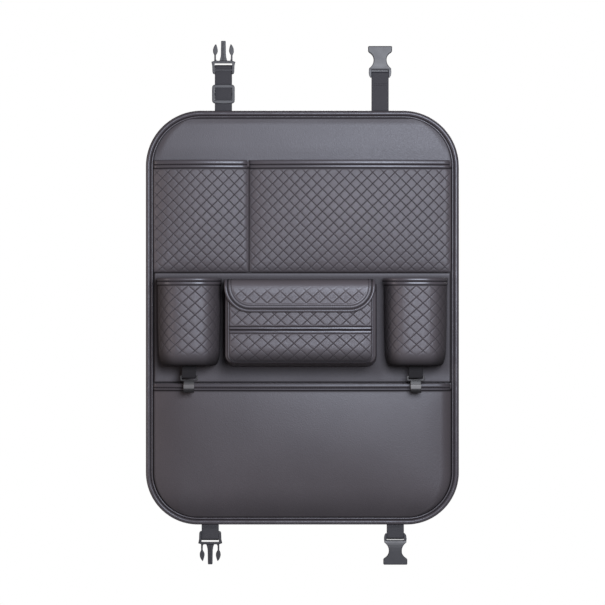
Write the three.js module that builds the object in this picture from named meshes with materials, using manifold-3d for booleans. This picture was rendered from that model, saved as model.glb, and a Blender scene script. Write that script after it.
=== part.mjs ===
// Car seat back organizer: a stiffened leatherette panel with quilted pockets, two cup pockets,
// a tissue box with a lid flap, two bag hooks and four webbing straps with side-release buckles.
// Millimetres. +X is to the viewer's right, +Z is up and the front faces -Y.
// The origin is the centre of the panel's back face. "Forward" is the distance in front of that face.
import * as THREE from 'three';
import { mergeVertices } from 'three/addons/utils/BufferGeometryUtils.js';
import Module from 'manifold-3d';

const wasm = await Module();
wasm.setup();

// Clearances
const seat = 0.3;
const runClear = 0.3;

// Panel and its layers
const panelWidth = 450;
const panelHeight = 595;
const topCornerRadius = 80;
const bottomCornerRadius = 75;
const liningThickness = 1.2;
const boardThickness = 3;
const coverThickness = 1.2;
const cornerSteps = 7;

// Edge binding
const bindingWidth = 10.5;
const bindingWall = 4;
const bindingLip = 1.6;
const bindingCrown = 1;
const bindingRidge = 3.2;
const bindingGroove = 0.9;

// Sheet goods: plain leatherette, and quilted leatherette with its pressed and its raised thickness
const sheetThickness = 1.2;
const quiltRaised = 2.8;
const quiltPitch = 8;
const smallQuiltPitch = 9;

// Folded hem on a pocket mouth
const hemHeight = 11.4;
const hemBand = 6.2;
const hemFold = 1.2;
const cupHemHeight = 10.2;
const cupHemBand = 4.8;

// Upper pockets
const upperPocketDrop = 71.5;
const upperPocketBottom = 65.6;
const pocketDivide = -76.7;
const pocketSideGap = 1;
const leftPocketBulge = 12;
const rightPocketBulge = 14;
const mouthRise = 1.7;
const leftPocketEdgeRise = 3;

// Middle panel and lower pocket
const middlePanelTop = 65;
const lowerPocketTop = -94;
const lowerPocketBulge = 16;
const lowerPocketColumns = 16;
const lowerPocketRows = 12;

// Cup pockets
const cupInset = 63;
const cupWidth = 91.5;
const cupDepth = 58;
const cupCorner = 21;
const cupTop = 57;
const cupBottom = -67.6;
const cupBaseThickness = 2.4;
const cupTuck = 3.5;

// Tissue box
const boxCentre = -2.6;
const boxBaseWidth = 220;
const boxFrontWidth = 205;
const boxBaseBottom = -71.6;
const boxFrontBottom = -63;
const boxBackTop = 48;
const boxFrontTop = 36;
const boxDepth = 48;
const boxBaseCorner = 16;
const boxFrontCorner = 10;
const gussetPleat = 4;
const boxPipingRadius = 2.2;
const pipingSides = 8;
const lipHeight = 3.7;
const lipDepth = 3.2;
const slitCentre = -17.2;
const slitGap = 2.1;

// Flap over the tissue box
const flapCentre = -3.7;
const flapWidth = 215;
const flapHingeHeight = 56;
const flapFrontDrop = 6;
const flapBend = 12;
const flapBottom = 7.8;
const flapCorner = 37;
const flapPipingRadius = 2.3;
const flapAir = 2.2;

// Straps
const strapWidth = 24.4;
const strapPly = 1.3;
const strapTail = 25;
const strapFlare = 13;
const topLeftStrapX = -113.5;
const topRightStrapX = 111.7;
const bottomLeftStrapX = -132.5;
const bottomRightStrapX = 133.6;
const topLeftReach = 62.5;
const topRightReach = 53;
const bottomLeftReach = 19.4;
const bottomRightReach = 17.9;
const barRadius = 1.6;
const railClear = 0.3;

// Side-release buckles, measured from the strap bar
const buckleWidth = 34.4;
const buckleSlot = 5.6;
const maleBase = 9;
const maleEarEnd = -10;
const maleEarWidth = 31.4;
const maleHalfDepth = 3.4;
const keeperBar = 1.9;
const prongTip = 37.8;
const prongWidth = 7.3;
const prongFlare = 12.4;
const prongThickness = 3.6;
const prongRib = 1.4;
const armStem = 2.4;
const armRoot = 2.1;
const armRootHeight = 4.6;
const armHeadStart = 17.6;
const armHeadEnd = 33.2;
const armHeadThickness = 5;
const femaleLength = 39.6;
const femaleRailEnd = -5.4;
const femaleStrapHalf = 16.2;
const femaleNeckHalf = 9.2;
const femaleNeckHeight = 20;
const femaleMouthStart = 30.8;
const femaleHalfDepth = 5;
const femaleStrapHalfDepth = 4;
const femaleWall = 2;
const femaleFloor = 12;
const guideRib = 1.2;
const topSlotBackDrop = 2.8;
const bottomSlotBackDrop = 1.5;
const slotBackThickness = 1.6;
const guideEnd = 31;

// Tri-glide on the upper left strap
const glideDrop = 38.7;
const glideWidth = 32.6;
const glideLength = 27;
const glideBar = 4.6;
const glideRearBar = 4;
const glideCrown = 1;
const glideCorner = 5;
const glideBarDepth = 1.8;

// Bag hooks under the cups
const hookStrapWidth = 20;
const hookBarDrop = 16.4;
const hookBarRadius = 1.4;
const hookHeadWidth = 25.4;
const hookRailDepth = 3.6;
const hookSlot = 4.3;
const hookBridge = 2;
const hookWidth = 15;
const hookStock = 2.2;
const hookMouth = 6.2;
const hookLipHeight = 12;
const hookReach = 17.9;
const hookTab = 24;

// Places that follow from the sizes above
const boardBack = liningThickness + seat;
const coverBack = boardBack + boardThickness + seat;
const coverFront = coverBack + coverThickness;
const middleFront = coverFront + seat + sheetThickness;
const strapForward = boardBack + boardThickness / 2;
const bindingFront = coverFront + seat + bindingLip;
const laidInset = bindingWall + seat;
const panelTop = panelHeight / 2;
const upperPocketTop = panelTop - upperPocketDrop;
const cupOffset = panelWidth / 2 - cupInset;
const topLeftBarHeight = panelTop + topLeftReach;
const topRightBarHeight = panelTop + topRightReach;
const bottomLeftBarHeight = -panelTop - bottomLeftReach;
const bottomRightBarHeight = -panelTop - bottomRightReach;
const glideHeight = topLeftBarHeight - glideDrop;
const pocketHalfWidth = panelWidth / 2 - bindingWidth - pocketSideGap;
const cupBack = middleFront + seat;
const boxBack = middleFront + seat;
const boxFront = boxBack + boxDepth;
const pipingForward = boxFront + seat + boxPipingRadius;
const faceInner = pipingForward - sheetThickness;
const lipFront = faceInner + lipDepth;
const flapInner = lipFront + flapAir;
const flapTop = flapHingeHeight - sheetThickness;
const flapHalf = flapWidth / 2 - flapPipingRadius;
const cupHookForward = cupBack + cupDepth / 2;
const hookBarHeight = cupBottom - hookBarDrop;

const leather = { color: 0x6e6b75, roughness: 0.5, metalness: 0 };
const quilted = { color: 0x67646c, roughness: 0.52, metalness: 0 };
const trim = { color: 0x5d5a63, roughness: 0.42, metalness: 0 };
const lining = { color: 0x2b2b2e, roughness: 0.95, metalness: 0 };
const board = { color: 0x8a8880, roughness: 0.8, metalness: 0 };
const webbing = { color: 0x35353a, roughness: 0.85, metalness: 0 };
const plastic = { color: 0x3a3a40, roughness: 0.38, metalness: 0 };

function at(x, forward, z) {
  return new THREE.Vector3(x, -forward, z);
}

function smooth(t) {
  return t * t * (3 - 2 * t);
}

function named(name, geometry, finish) {
  const mesh = new THREE.Mesh(geometry, new THREE.MeshStandardMaterial(finish));
  mesh.name = name;
  return mesh;
}

// A closed solid from points and triangles, turned so that its faces point out.
function solidFrom(points, triangles) {
  let volume = 0;
  for (let t = 0; t < triangles.length; t += 3) {
    const [a, b, c] = [points[triangles[t]], points[triangles[t + 1]], points[triangles[t + 2]]];
    volume += a.dot(new THREE.Vector3().crossVectors(b, c));
  }
  const faces = volume > 0 ? triangles : [...triangles].reverse();
  const geometry = new THREE.BufferGeometry().setFromPoints(points);
  geometry.setIndex(faces);
  return geometry;
}

// Rings of points joined one to the next, closed on itself or capped at both ends.
function ringSolid(rings, outline, closed) {
  const size = outline.length;
  const points = rings.flat();
  const triangles = [];
  const spans = closed ? rings.length : rings.length - 1;
  for (let r = 0; r < spans; r += 1) {
    const near = r * size;
    const far = ((r + 1) % rings.length) * size;
    for (let k = 0; k < size; k += 1) {
      const next = (k + 1) % size;
      triangles.push(near + k, near + next, far + next, near + k, far + next, far + k);
    }
  }
  if (!closed) {
    const last = (rings.length - 1) * size;
    for (const [a, b, c] of THREE.ShapeUtils.triangulateShape(outline, [])) {
      triangles.push(c, b, a, a + last, b + last, c + last);
    }
  }
  return solidFrom(points, triangles);
}

// Triangles between two chains of vertices with any number of points each.
function joinChains(front, back, triangles) {
  let i = 0;
  let j = 0;
  while (i < front.length - 1 || j < back.length - 1) {
    const frontLags = (i + 1) / (front.length - 1) <= (j + 1) / (back.length - 1);
    if (j === back.length - 1 || (i < front.length - 1 && frontLags)) {
      triangles.push(front[i + 1], front[i], back[j]);
      i += 1;
    } else {
      triangles.push(front[i], back[j], back[j + 1]);
      j += 1;
    }
  }
}

// A sheet over a grid. inner(i, j) is a point of its inner face, outward(i, j) its normal and
// lift(i, j) its thickness. The inner face keeps only the listed columns and rows.
function sheetSolid(columns, rows, backColumns, backRows, inner, outward, lift) {
  const points = [];
  const front = [];
  const back = new Map();
  for (let j = 0; j <= rows; j += 1) {
    front.push([]);
    for (let i = 0; i <= columns; i += 1) {
      front[j].push(points.length);
      points.push(inner(i, j).addScaledVector(outward(i, j), lift(i, j)));
    }
  }
  for (const j of backRows) {
    for (const i of backColumns) {
      back.set(`${i},${j}`, points.length);
      points.push(inner(i, j));
    }
  }
  const triangles = [];
  for (let j = 0; j < rows; j += 1) {
    for (let i = 0; i < columns; i += 1) {
      const [a, b, c, d] = [front[j][i], front[j][i + 1], front[j + 1][i + 1], front[j + 1][i]];
      if ((i + j) % 2 === 0) triangles.push(a, b, d, b, c, d);
      else triangles.push(a, b, c, a, c, d);
    }
  }
  const behind = (i, j) => back.get(`${i},${j}`);
  for (let n = 0; n < backRows.length - 1; n += 1) {
    for (let m = 0; m < backColumns.length - 1; m += 1) {
      const [i, k, j, l] = [backColumns[m], backColumns[m + 1], backRows[n], backRows[n + 1]];
      triangles.push(behind(i, j), behind(k, l), behind(k, j), behind(i, j), behind(i, l), behind(k, l));
    }
  }
  joinChains(front[0], backColumns.map((i) => behind(i, 0)), triangles);
  joinChains(front.map((row) => row[columns]), backRows.map((j) => behind(columns, j)), triangles);
  joinChains([...front[rows]].reverse(), [...backColumns].reverse().map((i) => behind(i, rows)), triangles);
  const firstEdge = front.map((row) => row[0]).reverse();
  joinChains(firstEdge, [...backRows].reverse().map((j) => behind(0, j)), triangles);
  return solidFrom(points, triangles);
}

function everySecond(count) {
  return Array.from({ length: count / 2 + 1 }, (unused, k) => 2 * k);
}

function everyOne(count) {
  return Array.from({ length: count + 1 }, (unused, k) => k);
}

function evenCells(length, pitch) {
  return 2 * Math.round(length / (2 * pitch));
}

// Thickness of a quilted sheet: diamonds raised between crossing grooves, pressed flat at its edges.
function quiltLift(columns, rows) {
  return (i, j) => {
    const inside = i > 0 && i < columns && j > 0 && j < rows;
    return inside && (i + j) % 2 === 0 ? quiltRaised : sheetThickness;
  };
}

function toManifold(geometry) {
  const bare = geometry.clone();
  bare.deleteAttribute('normal');
  bare.deleteAttribute('uv');
  const merged = mergeVertices(bare, 1e-4);
  const mesh = new wasm.Mesh({
    numProp: 3,
    vertProperties: new Float32Array(merged.attributes.position.array),
    triVerts: new Uint32Array(merged.index.array),
  });
  return new wasm.Manifold(mesh);
}

function fromManifold(manifold) {
  const mesh = manifold.getMesh();
  const geometry = new THREE.BufferGeometry();
  geometry.setAttribute('position', new THREE.BufferAttribute(new Float32Array(mesh.vertProperties), 3));
  geometry.setIndex(new THREE.BufferAttribute(new Uint32Array(mesh.triVerts), 1));
  return geometry;
}

function joined(...geometries) {
  return fromManifold(geometries.map(toManifold).reduce((sum, next) => sum.add(next)));
}

function cut(geometry, ...tools) {
  return fromManifold(tools.map(toManifold).reduce((left, tool) => left.subtract(tool), toManifold(geometry)));
}

function common(geometry, other) {
  return fromManifold(toManifold(geometry).intersect(toManifold(other)));
}

// A box from its lowest and highest x, forward and z.
function block(x0, x1, forward0, forward1, z0, z1) {
  const box = new THREE.BoxGeometry(x1 - x0, forward1 - forward0, z1 - z0);
  return box.translate((x0 + x1) / 2, -(forward0 + forward1) / 2, (z0 + z1) / 2);
}

// A shape drawn in x and z, made thick from one forward distance to another.
function frontExtrude(shape, forward0, forward1, bevel = 0, curveSegments = 6) {
  const geometry = new THREE.ExtrudeGeometry(shape, {
    depth: forward1 - forward0 - 2 * bevel,
    bevelEnabled: bevel > 0,
    bevelThickness: bevel,
    bevelSize: bevel,
    bevelOffset: -bevel,
    bevelSegments: 1,
    curveSegments,
  });
  return geometry.rotateX(Math.PI / 2).translate(0, -forward0 - bevel, 0);
}

// A shape drawn in forward and z, made wide from one x to another.
function sideExtrude(shape, x0, x1, curveSegments = 6) {
  const geometry = new THREE.ExtrudeGeometry(shape, { depth: x1 - x0, bevelEnabled: false, curveSegments });
  const turn = new THREE.Matrix4().makeBasis(
    new THREE.Vector3(0, -1, 0),
    new THREE.Vector3(0, 0, 1),
    new THREE.Vector3(-1, 0, 0),
  );
  return geometry.applyMatrix4(turn).translate(x1, 0, 0);
}

// A rod along X.
function crossRod(radius, halfLength, sides = 16) {
  return new THREE.CylinderGeometry(radius, radius, 2 * halfLength, sides).rotateZ(Math.PI / 2);
}

// The panel's outline at an inset, as points in x and z.
function panelOutline(inset) {
  const halfWidth = panelWidth / 2;
  const halfHeight = panelHeight / 2;
  const corners = [
    [halfWidth - topCornerRadius, halfHeight - topCornerRadius, topCornerRadius, 0],
    [topCornerRadius - halfWidth, halfHeight - topCornerRadius, topCornerRadius, 1],
    [bottomCornerRadius - halfWidth, bottomCornerRadius - halfHeight, bottomCornerRadius, 2],
    [halfWidth - bottomCornerRadius, bottomCornerRadius - halfHeight, bottomCornerRadius, 3],
  ];
  const points = [];
  for (const [x, z, radius, quarter] of corners) {
    for (let s = 0; s <= cornerSteps; s += 1) {
      const angle = (quarter + s / cornerSteps) * Math.PI / 2;
      const reach = radius - inset;
      points.push(new THREE.Vector2(x + reach * Math.cos(angle), z + reach * Math.sin(angle)));
    }
  }
  return points;
}

// Half the panel's width at a height, inside an inset.
function panelHalfWidthAt(z, inset) {
  const centre = bottomCornerRadius - panelHeight / 2;
  const reach = bottomCornerRadius - inset;
  const drop = Math.min(reach, Math.max(0, centre - z));
  return panelWidth / 2 - bottomCornerRadius + Math.sqrt(reach * reach - drop * drop);
}

const strapPlaces = [
  { x: topLeftStrapX, side: 1 },
  { x: topRightStrapX, side: 1 },
  { x: bottomLeftStrapX, side: -1 },
  { x: bottomRightStrapX, side: -1 },
];

// One cutter for each strap, through the panel's edge and deep enough for the sewn tail.
function strapCutters(outer, deep) {
  return strapPlaces.map(({ x, side }) => {
    const edge = side * panelHeight / 2;
    const ends = [edge + side * outer, edge - side * deep].sort((a, b) => a - b);
    const half = strapWidth / 2 + seat;
    return block(x - half, x + half, strapForward - strapPly - seat, strapForward + strapPly + seat, ...ends);
  });
}

function makeLining() {
  const shape = new THREE.Shape(panelOutline(bindingWidth + seat));
  return named('back_lining', frontExtrude(shape, 0, liningThickness), lining);
}

function makeBoard() {
  const shape = new THREE.Shape(panelOutline(laidInset));
  const sheet = frontExtrude(shape, boardBack, boardBack + boardThickness);
  const notches = strapPlaces.map(({ x, side }) => {
    const edge = side * panelHeight / 2;
    const ends = [edge, edge - side * (strapTail + seat)].sort((a, b) => a - b);
    const half = strapWidth / 2 + seat;
    return block(x - half, x + half, 0, coverFront, ...ends);
  });
  return named('stiffener_board', cut(sheet, ...notches), board);
}

function makeCover() {
  const shape = new THREE.Shape(panelOutline(laidInset));
  return named('front_cover', frontExtrude(shape, coverBack, coverFront), leather);
}

// The binding folds over the panel's edge: a rounded band, a stitch groove and a thin inner ridge.
function makeEdgeBinding() {
  const crown = bindingFront + bindingCrown;
  const groove = bindingWidth - bindingRidge;
  const section = [
    [1.6, 0], [bindingWidth, 0], [bindingWidth, liningThickness], [bindingWall, liningThickness],
    [bindingWall, coverFront + seat], [bindingWidth, coverFront + seat],
    [bindingWidth - 0.5, bindingFront], [groove + 1.1, bindingFront], [groove, bindingFront - bindingGroove],
    [groove - 1, crown - 0.4], [groove - 2.6, crown], [2.6, crown], [0.7, crown - 1.6],
    [0, crown * 0.6], [0, 2.2],
  ].map(([inset, forward]) => new THREE.Vector2(inset, forward));
  const outlines = section.map((p) => panelOutline(p.x));
  const corner = (p, s, k) => at(outlines[s][k].x, p.y, outlines[s][k].y);
  const rings = outlines[0].map((unused, k) => section.map((p, s) => corner(p, s, k)));
  const ring = ringSolid(rings, section, true);
  return named('edge_binding', cut(ring, ...strapCutters(1, bindingWall + 1)), trim);
}

// Hem section: n is the distance in front of the sheet's inner face, h the height from the mouth.
function hemSection(height, band) {
  const inside = -runClear;
  const outside = sheetThickness + runClear;
  const leg = outside + hemFold;
  return [
    [inside, 1.5 - height], [inside, -hemFold - seat], [outside, -hemFold - seat], [outside, -height],
    [leg, -height], [leg + 0.2, -band - 1.3], [leg - 0.6, -band - 0.5],
    [leg + 0.6, 0.4 - band], [leg + 0.6, -1.2], [outside, 0],
    [inside - hemFold, -0.6], [inside - hemFold, 1.5 - height],
  ].map(([n, h]) => new THREE.Vector2(n, h));
}

// A hem along a mouth, given the inner face's points and normals at its top.
function hemSolid(feet, normals, height, band) {
  const section = hemSection(height, band);
  const rings = feet.map((foot, k) => section.map((p) => {
    const point = foot.clone().addScaledVector(normals[k], p.x);
    point.z += p.y;
    return point;
  }));
  return ringSolid(rings, section, false);
}

// A pocket wall sewn to the cover along its sides and bottom and bulging towards its mouth.
function pocketForward(u, v, bulge, rise) {
  const side = 1 - (2 * u - 1) ** 2;
  const climb = 1 - (1 - v) ** 2.4;
  return coverFront + seat + mouthRise * smooth(v) + bulge * side * climb + rise * u ** 4 * climb;
}

function makeUpperPocket(name, left, right, bulge, rise) {
  const columns = evenCells(right - left, quiltPitch);
  const quiltTop = upperPocketTop - hemHeight;
  const quiltRows = evenCells(quiltTop - upperPocketBottom, quiltPitch);
  const rows = quiltRows + 2;
  const wallTop = upperPocketTop - hemFold - 2 * seat;
  const xOf = (i) => left + (right - left) * i / columns;
  const zOf = (j) => (j <= quiltRows
    ? upperPocketBottom + (quiltTop - upperPocketBottom) * j / quiltRows
    : quiltTop + (wallTop - quiltTop) * (j - quiltRows) / 2);
  const height = (z) => Math.min(1, (z - upperPocketBottom) / (quiltTop - upperPocketBottom));
  const inner = (i, j) => at(xOf(i), pocketForward(i / columns, height(zOf(j)), bulge, rise), zOf(j));
  const outward = () => at(0, 1, 0);
  const lift = quiltLift(columns, quiltRows);
  const back = everySecond(columns);
  const wall = sheetSolid(columns, rows, back, everySecond(rows), inner, outward, lift);
  const feet = back.map((i) => inner(i, rows).setZ(upperPocketTop));
  const hem = hemSolid(feet, back.map(outward), hemHeight, hemBand);
  return [named(name, wall, quilted), named(`${name}_hem`, hem, trim)];
}

function makeMiddlePanel() {
  const half = pocketHalfWidth;
  const bottom = lowerPocketTop + 2 * seat;
  const sheet = block(-half, half, coverFront + seat, middleFront, bottom, middlePanelTop);
  return named('middle_panel', sheet, leather);
}

// The lower pocket is plain, and its lower corners follow the panel's.
function makeLowerPocket() {
  const columns = lowerPocketColumns;
  const rows = lowerPocketRows + 2;
  const inset = bindingWidth + pocketSideGap;
  const bottom = inset - panelHeight / 2;
  const hemBottom = lowerPocketTop - hemHeight;
  const wallTop = lowerPocketTop - hemFold - 2 * seat;
  const zOf = (j) => (j <= lowerPocketRows
    ? bottom + (hemBottom - bottom) * (j / lowerPocketRows) ** 1.6
    : hemBottom + (wallTop - hemBottom) * (j - lowerPocketRows) / 2);
  const height = (z) => Math.min(1, (z - bottom) / (hemBottom - bottom));
  const inner = (i, j) => {
    const z = zOf(j);
    const half = Math.min(pocketHalfWidth, panelHalfWidthAt(z, inset));
    return at(half * (2 * i / columns - 1), pocketForward(i / columns, height(z), lowerPocketBulge, 0), z);
  };
  const outward = () => at(0, 1, 0);
  const lift = () => sheetThickness;
  const back = everySecond(columns);
  const wall = sheetSolid(columns, rows, back, everySecond(rows), inner, outward, lift);
  const feet = back.map((i) => inner(i, rows).setZ(lowerPocketTop));
  const hem = hemSolid(feet, back.map(outward), hemHeight, hemBand);
  return [named('lower_pocket', wall, leather), named('lower_pocket_hem', hem, trim)];
}

// The plan of a cup pocket, from the panel round the front and back, as points in x and forward.
function cupPath(inset, columns) {
  const half = cupWidth / 2 - inset;
  const front = cupBack + cupDepth - inset;
  const corner = cupCorner - inset;
  const path = new THREE.Path();
  path.moveTo(-half, cupBack);
  path.lineTo(-half, front - corner);
  path.absarc(corner - half, front - corner, corner, Math.PI, Math.PI / 2, true);
  path.lineTo(half - corner, front);
  path.absarc(half - corner, front - corner, corner, Math.PI / 2, 0, true);
  path.lineTo(half, cupBack);
  return path.getSpacedPoints(columns);
}

function cupNormals(points) {
  return points.map((unused, k) => {
    const before = points[Math.max(0, k - 1)];
    const after = points[Math.min(points.length - 1, k + 1)];
    const along = after.clone().sub(before).normalize();
    return at(-along.y, along.x, 0);
  });
}

function makeCup(side, centre) {
  const length = 2 * cupDepth + cupWidth - (4 - Math.PI) * cupCorner;
  const columns = evenCells(length, smallQuiltPitch);
  const path = cupPath(quiltRaised, columns);
  const normals = cupNormals(path);
  normals[0] = at(-1, 0, 0);
  normals[columns] = at(1, 0, 0);
  const quiltTop = cupTop - cupHemHeight;
  const foot = cupBottom + cupBaseThickness + seat;
  const quiltRows = evenCells(quiltTop - foot, smallQuiltPitch);
  const rows = quiltRows + 2;
  const wallTop = cupTop - hemFold - 2 * seat;
  const zOf = (j) => (j <= quiltRows
    ? foot + (quiltTop - foot) * j / quiltRows
    : quiltTop + (wallTop - quiltTop) * (j - quiltRows) / 2);
  const inner = (i, j) => {
    const tuck = j === 0 ? cupTuck : 0;
    const point = at(centre + path[i].x, path[i].y, zOf(j)).addScaledVector(normals[i], -tuck);
    point.y = Math.min(point.y, -cupBack);
    return point;
  };
  const lift = quiltLift(columns, quiltRows);
  const backRows = [0, 1, rows];
  const wall = sheetSolid(columns, rows, everyOne(columns), backRows, inner, (i) => normals[i], lift);
  const feet = path.map((p) => at(centre + p.x, p.y, cupTop));
  const hem = hemSolid(feet, normals, cupHemHeight, cupHemBand);
  const plan = cupPath(cupTuck, columns).map((p) => new THREE.Vector2(centre + p.x, p.y));
  const floorShape = new THREE.Shape(plan);
  const base = new THREE.ExtrudeGeometry(floorShape, { depth: cupBaseThickness, bevelEnabled: false });
  base.applyMatrix4(new THREE.Matrix4().makeScale(1, -1, 1)).translate(0, 0, cupBottom);
  flip(base);
  return [
    named(`${side}_cup_wall`, wall, quilted),
    named(`${side}_cup_hem`, hem, trim),
    named(`${side}_cup_base`, base, trim),
  ];
}

// Turns the faces of a mirrored geometry back out.
function flip(geometry) {
  const position = geometry.attributes.position;
  for (let t = 0; t < position.count; t += 3) {
    const b = new THREE.Vector3().fromBufferAttribute(position, t + 1);
    const c = new THREE.Vector3().fromBufferAttribute(position, t + 2);
    position.setXYZ(t + 1, c.x, c.y, c.z);
    position.setXYZ(t + 2, b.x, b.y, b.z);
  }
}

// The U of the tissue box's sides and bottom, seen from the front, from one top to the other.
function boxPath(half, bottom, top, corner) {
  const path = new THREE.Path();
  path.moveTo(-half, top);
  path.lineTo(-half, bottom + corner);
  path.absarc(corner - half, bottom + corner, corner, Math.PI, 1.5 * Math.PI, false);
  path.lineTo(half - corner, bottom);
  path.absarc(half - corner, bottom + corner, corner, 1.5 * Math.PI, 2 * Math.PI, false);
  path.lineTo(half, top);
  return path.getPoints(3);
}

function makeGusset() {
  const base = boxPath(boxBaseWidth / 2, boxBaseBottom, boxBackTop, boxBaseCorner);
  const face = boxPath(boxFrontWidth / 2, boxFrontBottom, boxFrontTop, boxFrontCorner);
  const columns = base.length - 1;
  const rows = 4;
  const normals = cupNormals(base).map((n) => new THREE.Vector3(-n.x, 0, n.y));
  const pleated = (i) => (Math.abs(normals[i].x) > 0.9 ? gussetPleat : 0);
  const inner = (i, j) => {
    const t = j / rows;
    const fold = sheetThickness + pleated(i) * (1 - Math.abs(2 * t - 1));
    const point = at(
      boxCentre + base[i].x + (face[i].x - base[i].x) * t,
      boxBack + boxDepth * t,
      base[i].y + (face[i].y - base[i].y) * t,
    );
    return point.addScaledVector(normals[i], -fold);
  };
  const lift = () => sheetThickness;
  const wall = sheetSolid(columns, rows, everyOne(columns), [0, 2, 4], inner, (i) => normals[i], lift);
  return named('tissue_box_gusset', wall, leather);
}

// A quilted panel of the box's front, with the lower corners rounded by the piping.
function frontPanel(name, bottom, top) {
  const half = boxFrontWidth / 2 - boxPipingRadius - seat;
  const columns = evenCells(2 * half, smallQuiltPitch);
  const rows = evenCells(top - bottom, smallQuiltPitch);
  const xOf = (i) => boxCentre + half * (2 * i / columns - 1);
  const inner = (i, j) => at(xOf(i), faceInner, bottom + (top - bottom) * j / rows);
  const lift = quiltLift(columns, rows);
  const outward = () => at(0, 1, 0);
  const sheet = sheetSolid(columns, rows, [0, columns], [0, rows], inner, outward, lift);
  const corner = boxFrontCorner - boxPipingRadius - seat;
  const outline = boxPath(half, boxFrontBottom + boxPipingRadius + seat, boxFrontTop + 1, corner);
  const shape = new THREE.Shape(outline.map((p) => new THREE.Vector2(boxCentre + p.x, p.y)));
  return named(name, common(sheet, frontExtrude(shape, faceInner - 1, faceInner + quiltRaised + 1)), quilted);
}

// A round piping along a line of points.
function pipe(points, radius) {
  const outline = everyOne(pipingSides - 1).map((k) => {
    const angle = 2 * Math.PI * k / pipingSides;
    return new THREE.Vector2(radius * Math.cos(angle), radius * Math.sin(angle));
  });
  const last = points.length - 1;
  let side = new THREE.Vector3(0, 0, 0);
  const rings = points.map((point, k) => {
    const along = points[Math.min(last, k + 1)].clone().sub(points[Math.max(0, k - 1)]).normalize();
    if (k === 0) side = new THREE.Vector3(along.y, along.z, along.x);
    side.addScaledVector(along, -side.dot(along)).normalize();
    const up = new THREE.Vector3().crossVectors(along, side);
    return outline.map((p) => point.clone().addScaledVector(side, p.x).addScaledVector(up, p.y));
  });
  return ringSolid(rings, outline, false);
}

function makeBoxFront() {
  const lipHalf = boxFrontWidth / 2 - boxPipingRadius - seat;
  const lip = (name, bottom) => {
    const edge = lipHeight / 2;
    const shape = new THREE.Shape();
    shape.moveTo(faceInner, bottom);
    shape.lineTo(faceInner + lipDepth - edge, bottom);
    shape.absarc(faceInner + lipDepth - edge, bottom + edge, edge, -Math.PI / 2, Math.PI / 2, false);
    shape.lineTo(faceInner, bottom + lipHeight);
    return named(name, sideExtrude(shape, boxCentre - lipHalf, boxCentre + lipHalf, 3), trim);
  };
  const outline = boxPath(boxFrontWidth / 2, boxFrontBottom, boxFrontTop, boxFrontCorner);
  const route = outline.map((p) => at(boxCentre + p.x, pipingForward, p.y));
  const upperLip = slitCentre + slitGap / 2;
  const lowerLip = slitCentre - slitGap / 2 - lipHeight;
  return [
    frontPanel('tissue_front_upper', upperLip + lipHeight + seat, boxFrontTop),
    frontPanel('tissue_front_lower', boxFrontBottom + boxPipingRadius + seat, lowerLip - seat),
    lip('tissue_slit_upper_lip', upperLip),
    lip('tissue_slit_lower_lip', lowerLip),
    named('tissue_box_piping', pipe(route, boxPipingRadius), trim),
  ];
}

// The flap's side profile on its inner face, in forward and z: over the box, round the bend and down.
function flapProfile(bottom) {
  const bendTop = flapTop - flapFrontDrop;
  const path = new THREE.Path();
  path.moveTo(boxBack, flapTop);
  path.lineTo(flapInner - flapBend, bendTop);
  path.quadraticCurveTo(flapInner, bendTop, flapInner, bendTop - flapBend);
  path.lineTo(flapInner, bottom);
  return path;
}

function flapOutline(half, bottom, corner) {
  const path = new THREE.Shape();
  path.moveTo(flapCentre - half, flapHingeHeight + quiltPitch);
  path.lineTo(flapCentre - half, bottom + corner);
  path.absarc(flapCentre - half + corner, bottom + corner, corner, Math.PI, 1.5 * Math.PI, false);
  path.lineTo(flapCentre + half - corner, bottom);
  path.absarc(flapCentre + half - corner, bottom + corner, corner, 1.5 * Math.PI, 2 * Math.PI, false);
  path.lineTo(flapCentre + half, flapHingeHeight + quiltPitch);
  return path;
}

function makeFlap() {
  const trimmed = flapPipingRadius + seat;
  const half = flapHalf - trimmed;
  const bottom = flapBottom + flapPipingRadius;
  const corner = flapCorner - flapPipingRadius;
  const profile = flapProfile(bottom + trimmed);
  const columns = evenCells(2 * half, smallQuiltPitch);
  const rows = evenCells(profile.getLength(), smallQuiltPitch);
  const line = profile.getSpacedPoints(rows);
  const slopes = line.map((unused, k) => {
    const along = line[Math.min(rows, k + 1)].clone().sub(line[Math.max(0, k - 1)]).normalize();
    return at(0, -along.y, along.x);
  });
  slopes[0] = at(0, 0, 1);
  const inner = (i, j) => at(flapCentre + half * (2 * i / columns - 1), line[rows - j].x, line[rows - j].y);
  const lift = quiltLift(columns, rows);
  const outward = (i, j) => slopes[rows - j];
  const sheet = sheetSolid(columns, rows, [0, columns], everyOne(rows), inner, outward, lift);
  const outline = flapOutline(half, bottom + trimmed, corner - trimmed);
  const trimmedSheet = common(sheet, frontExtrude(outline, 0, flapInner + 10));
  return [
    named('tissue_flap', trimmedSheet, quilted),
    named('tissue_flap_piping', flapPiping(bottom, corner), trim),
  ];
}

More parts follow.
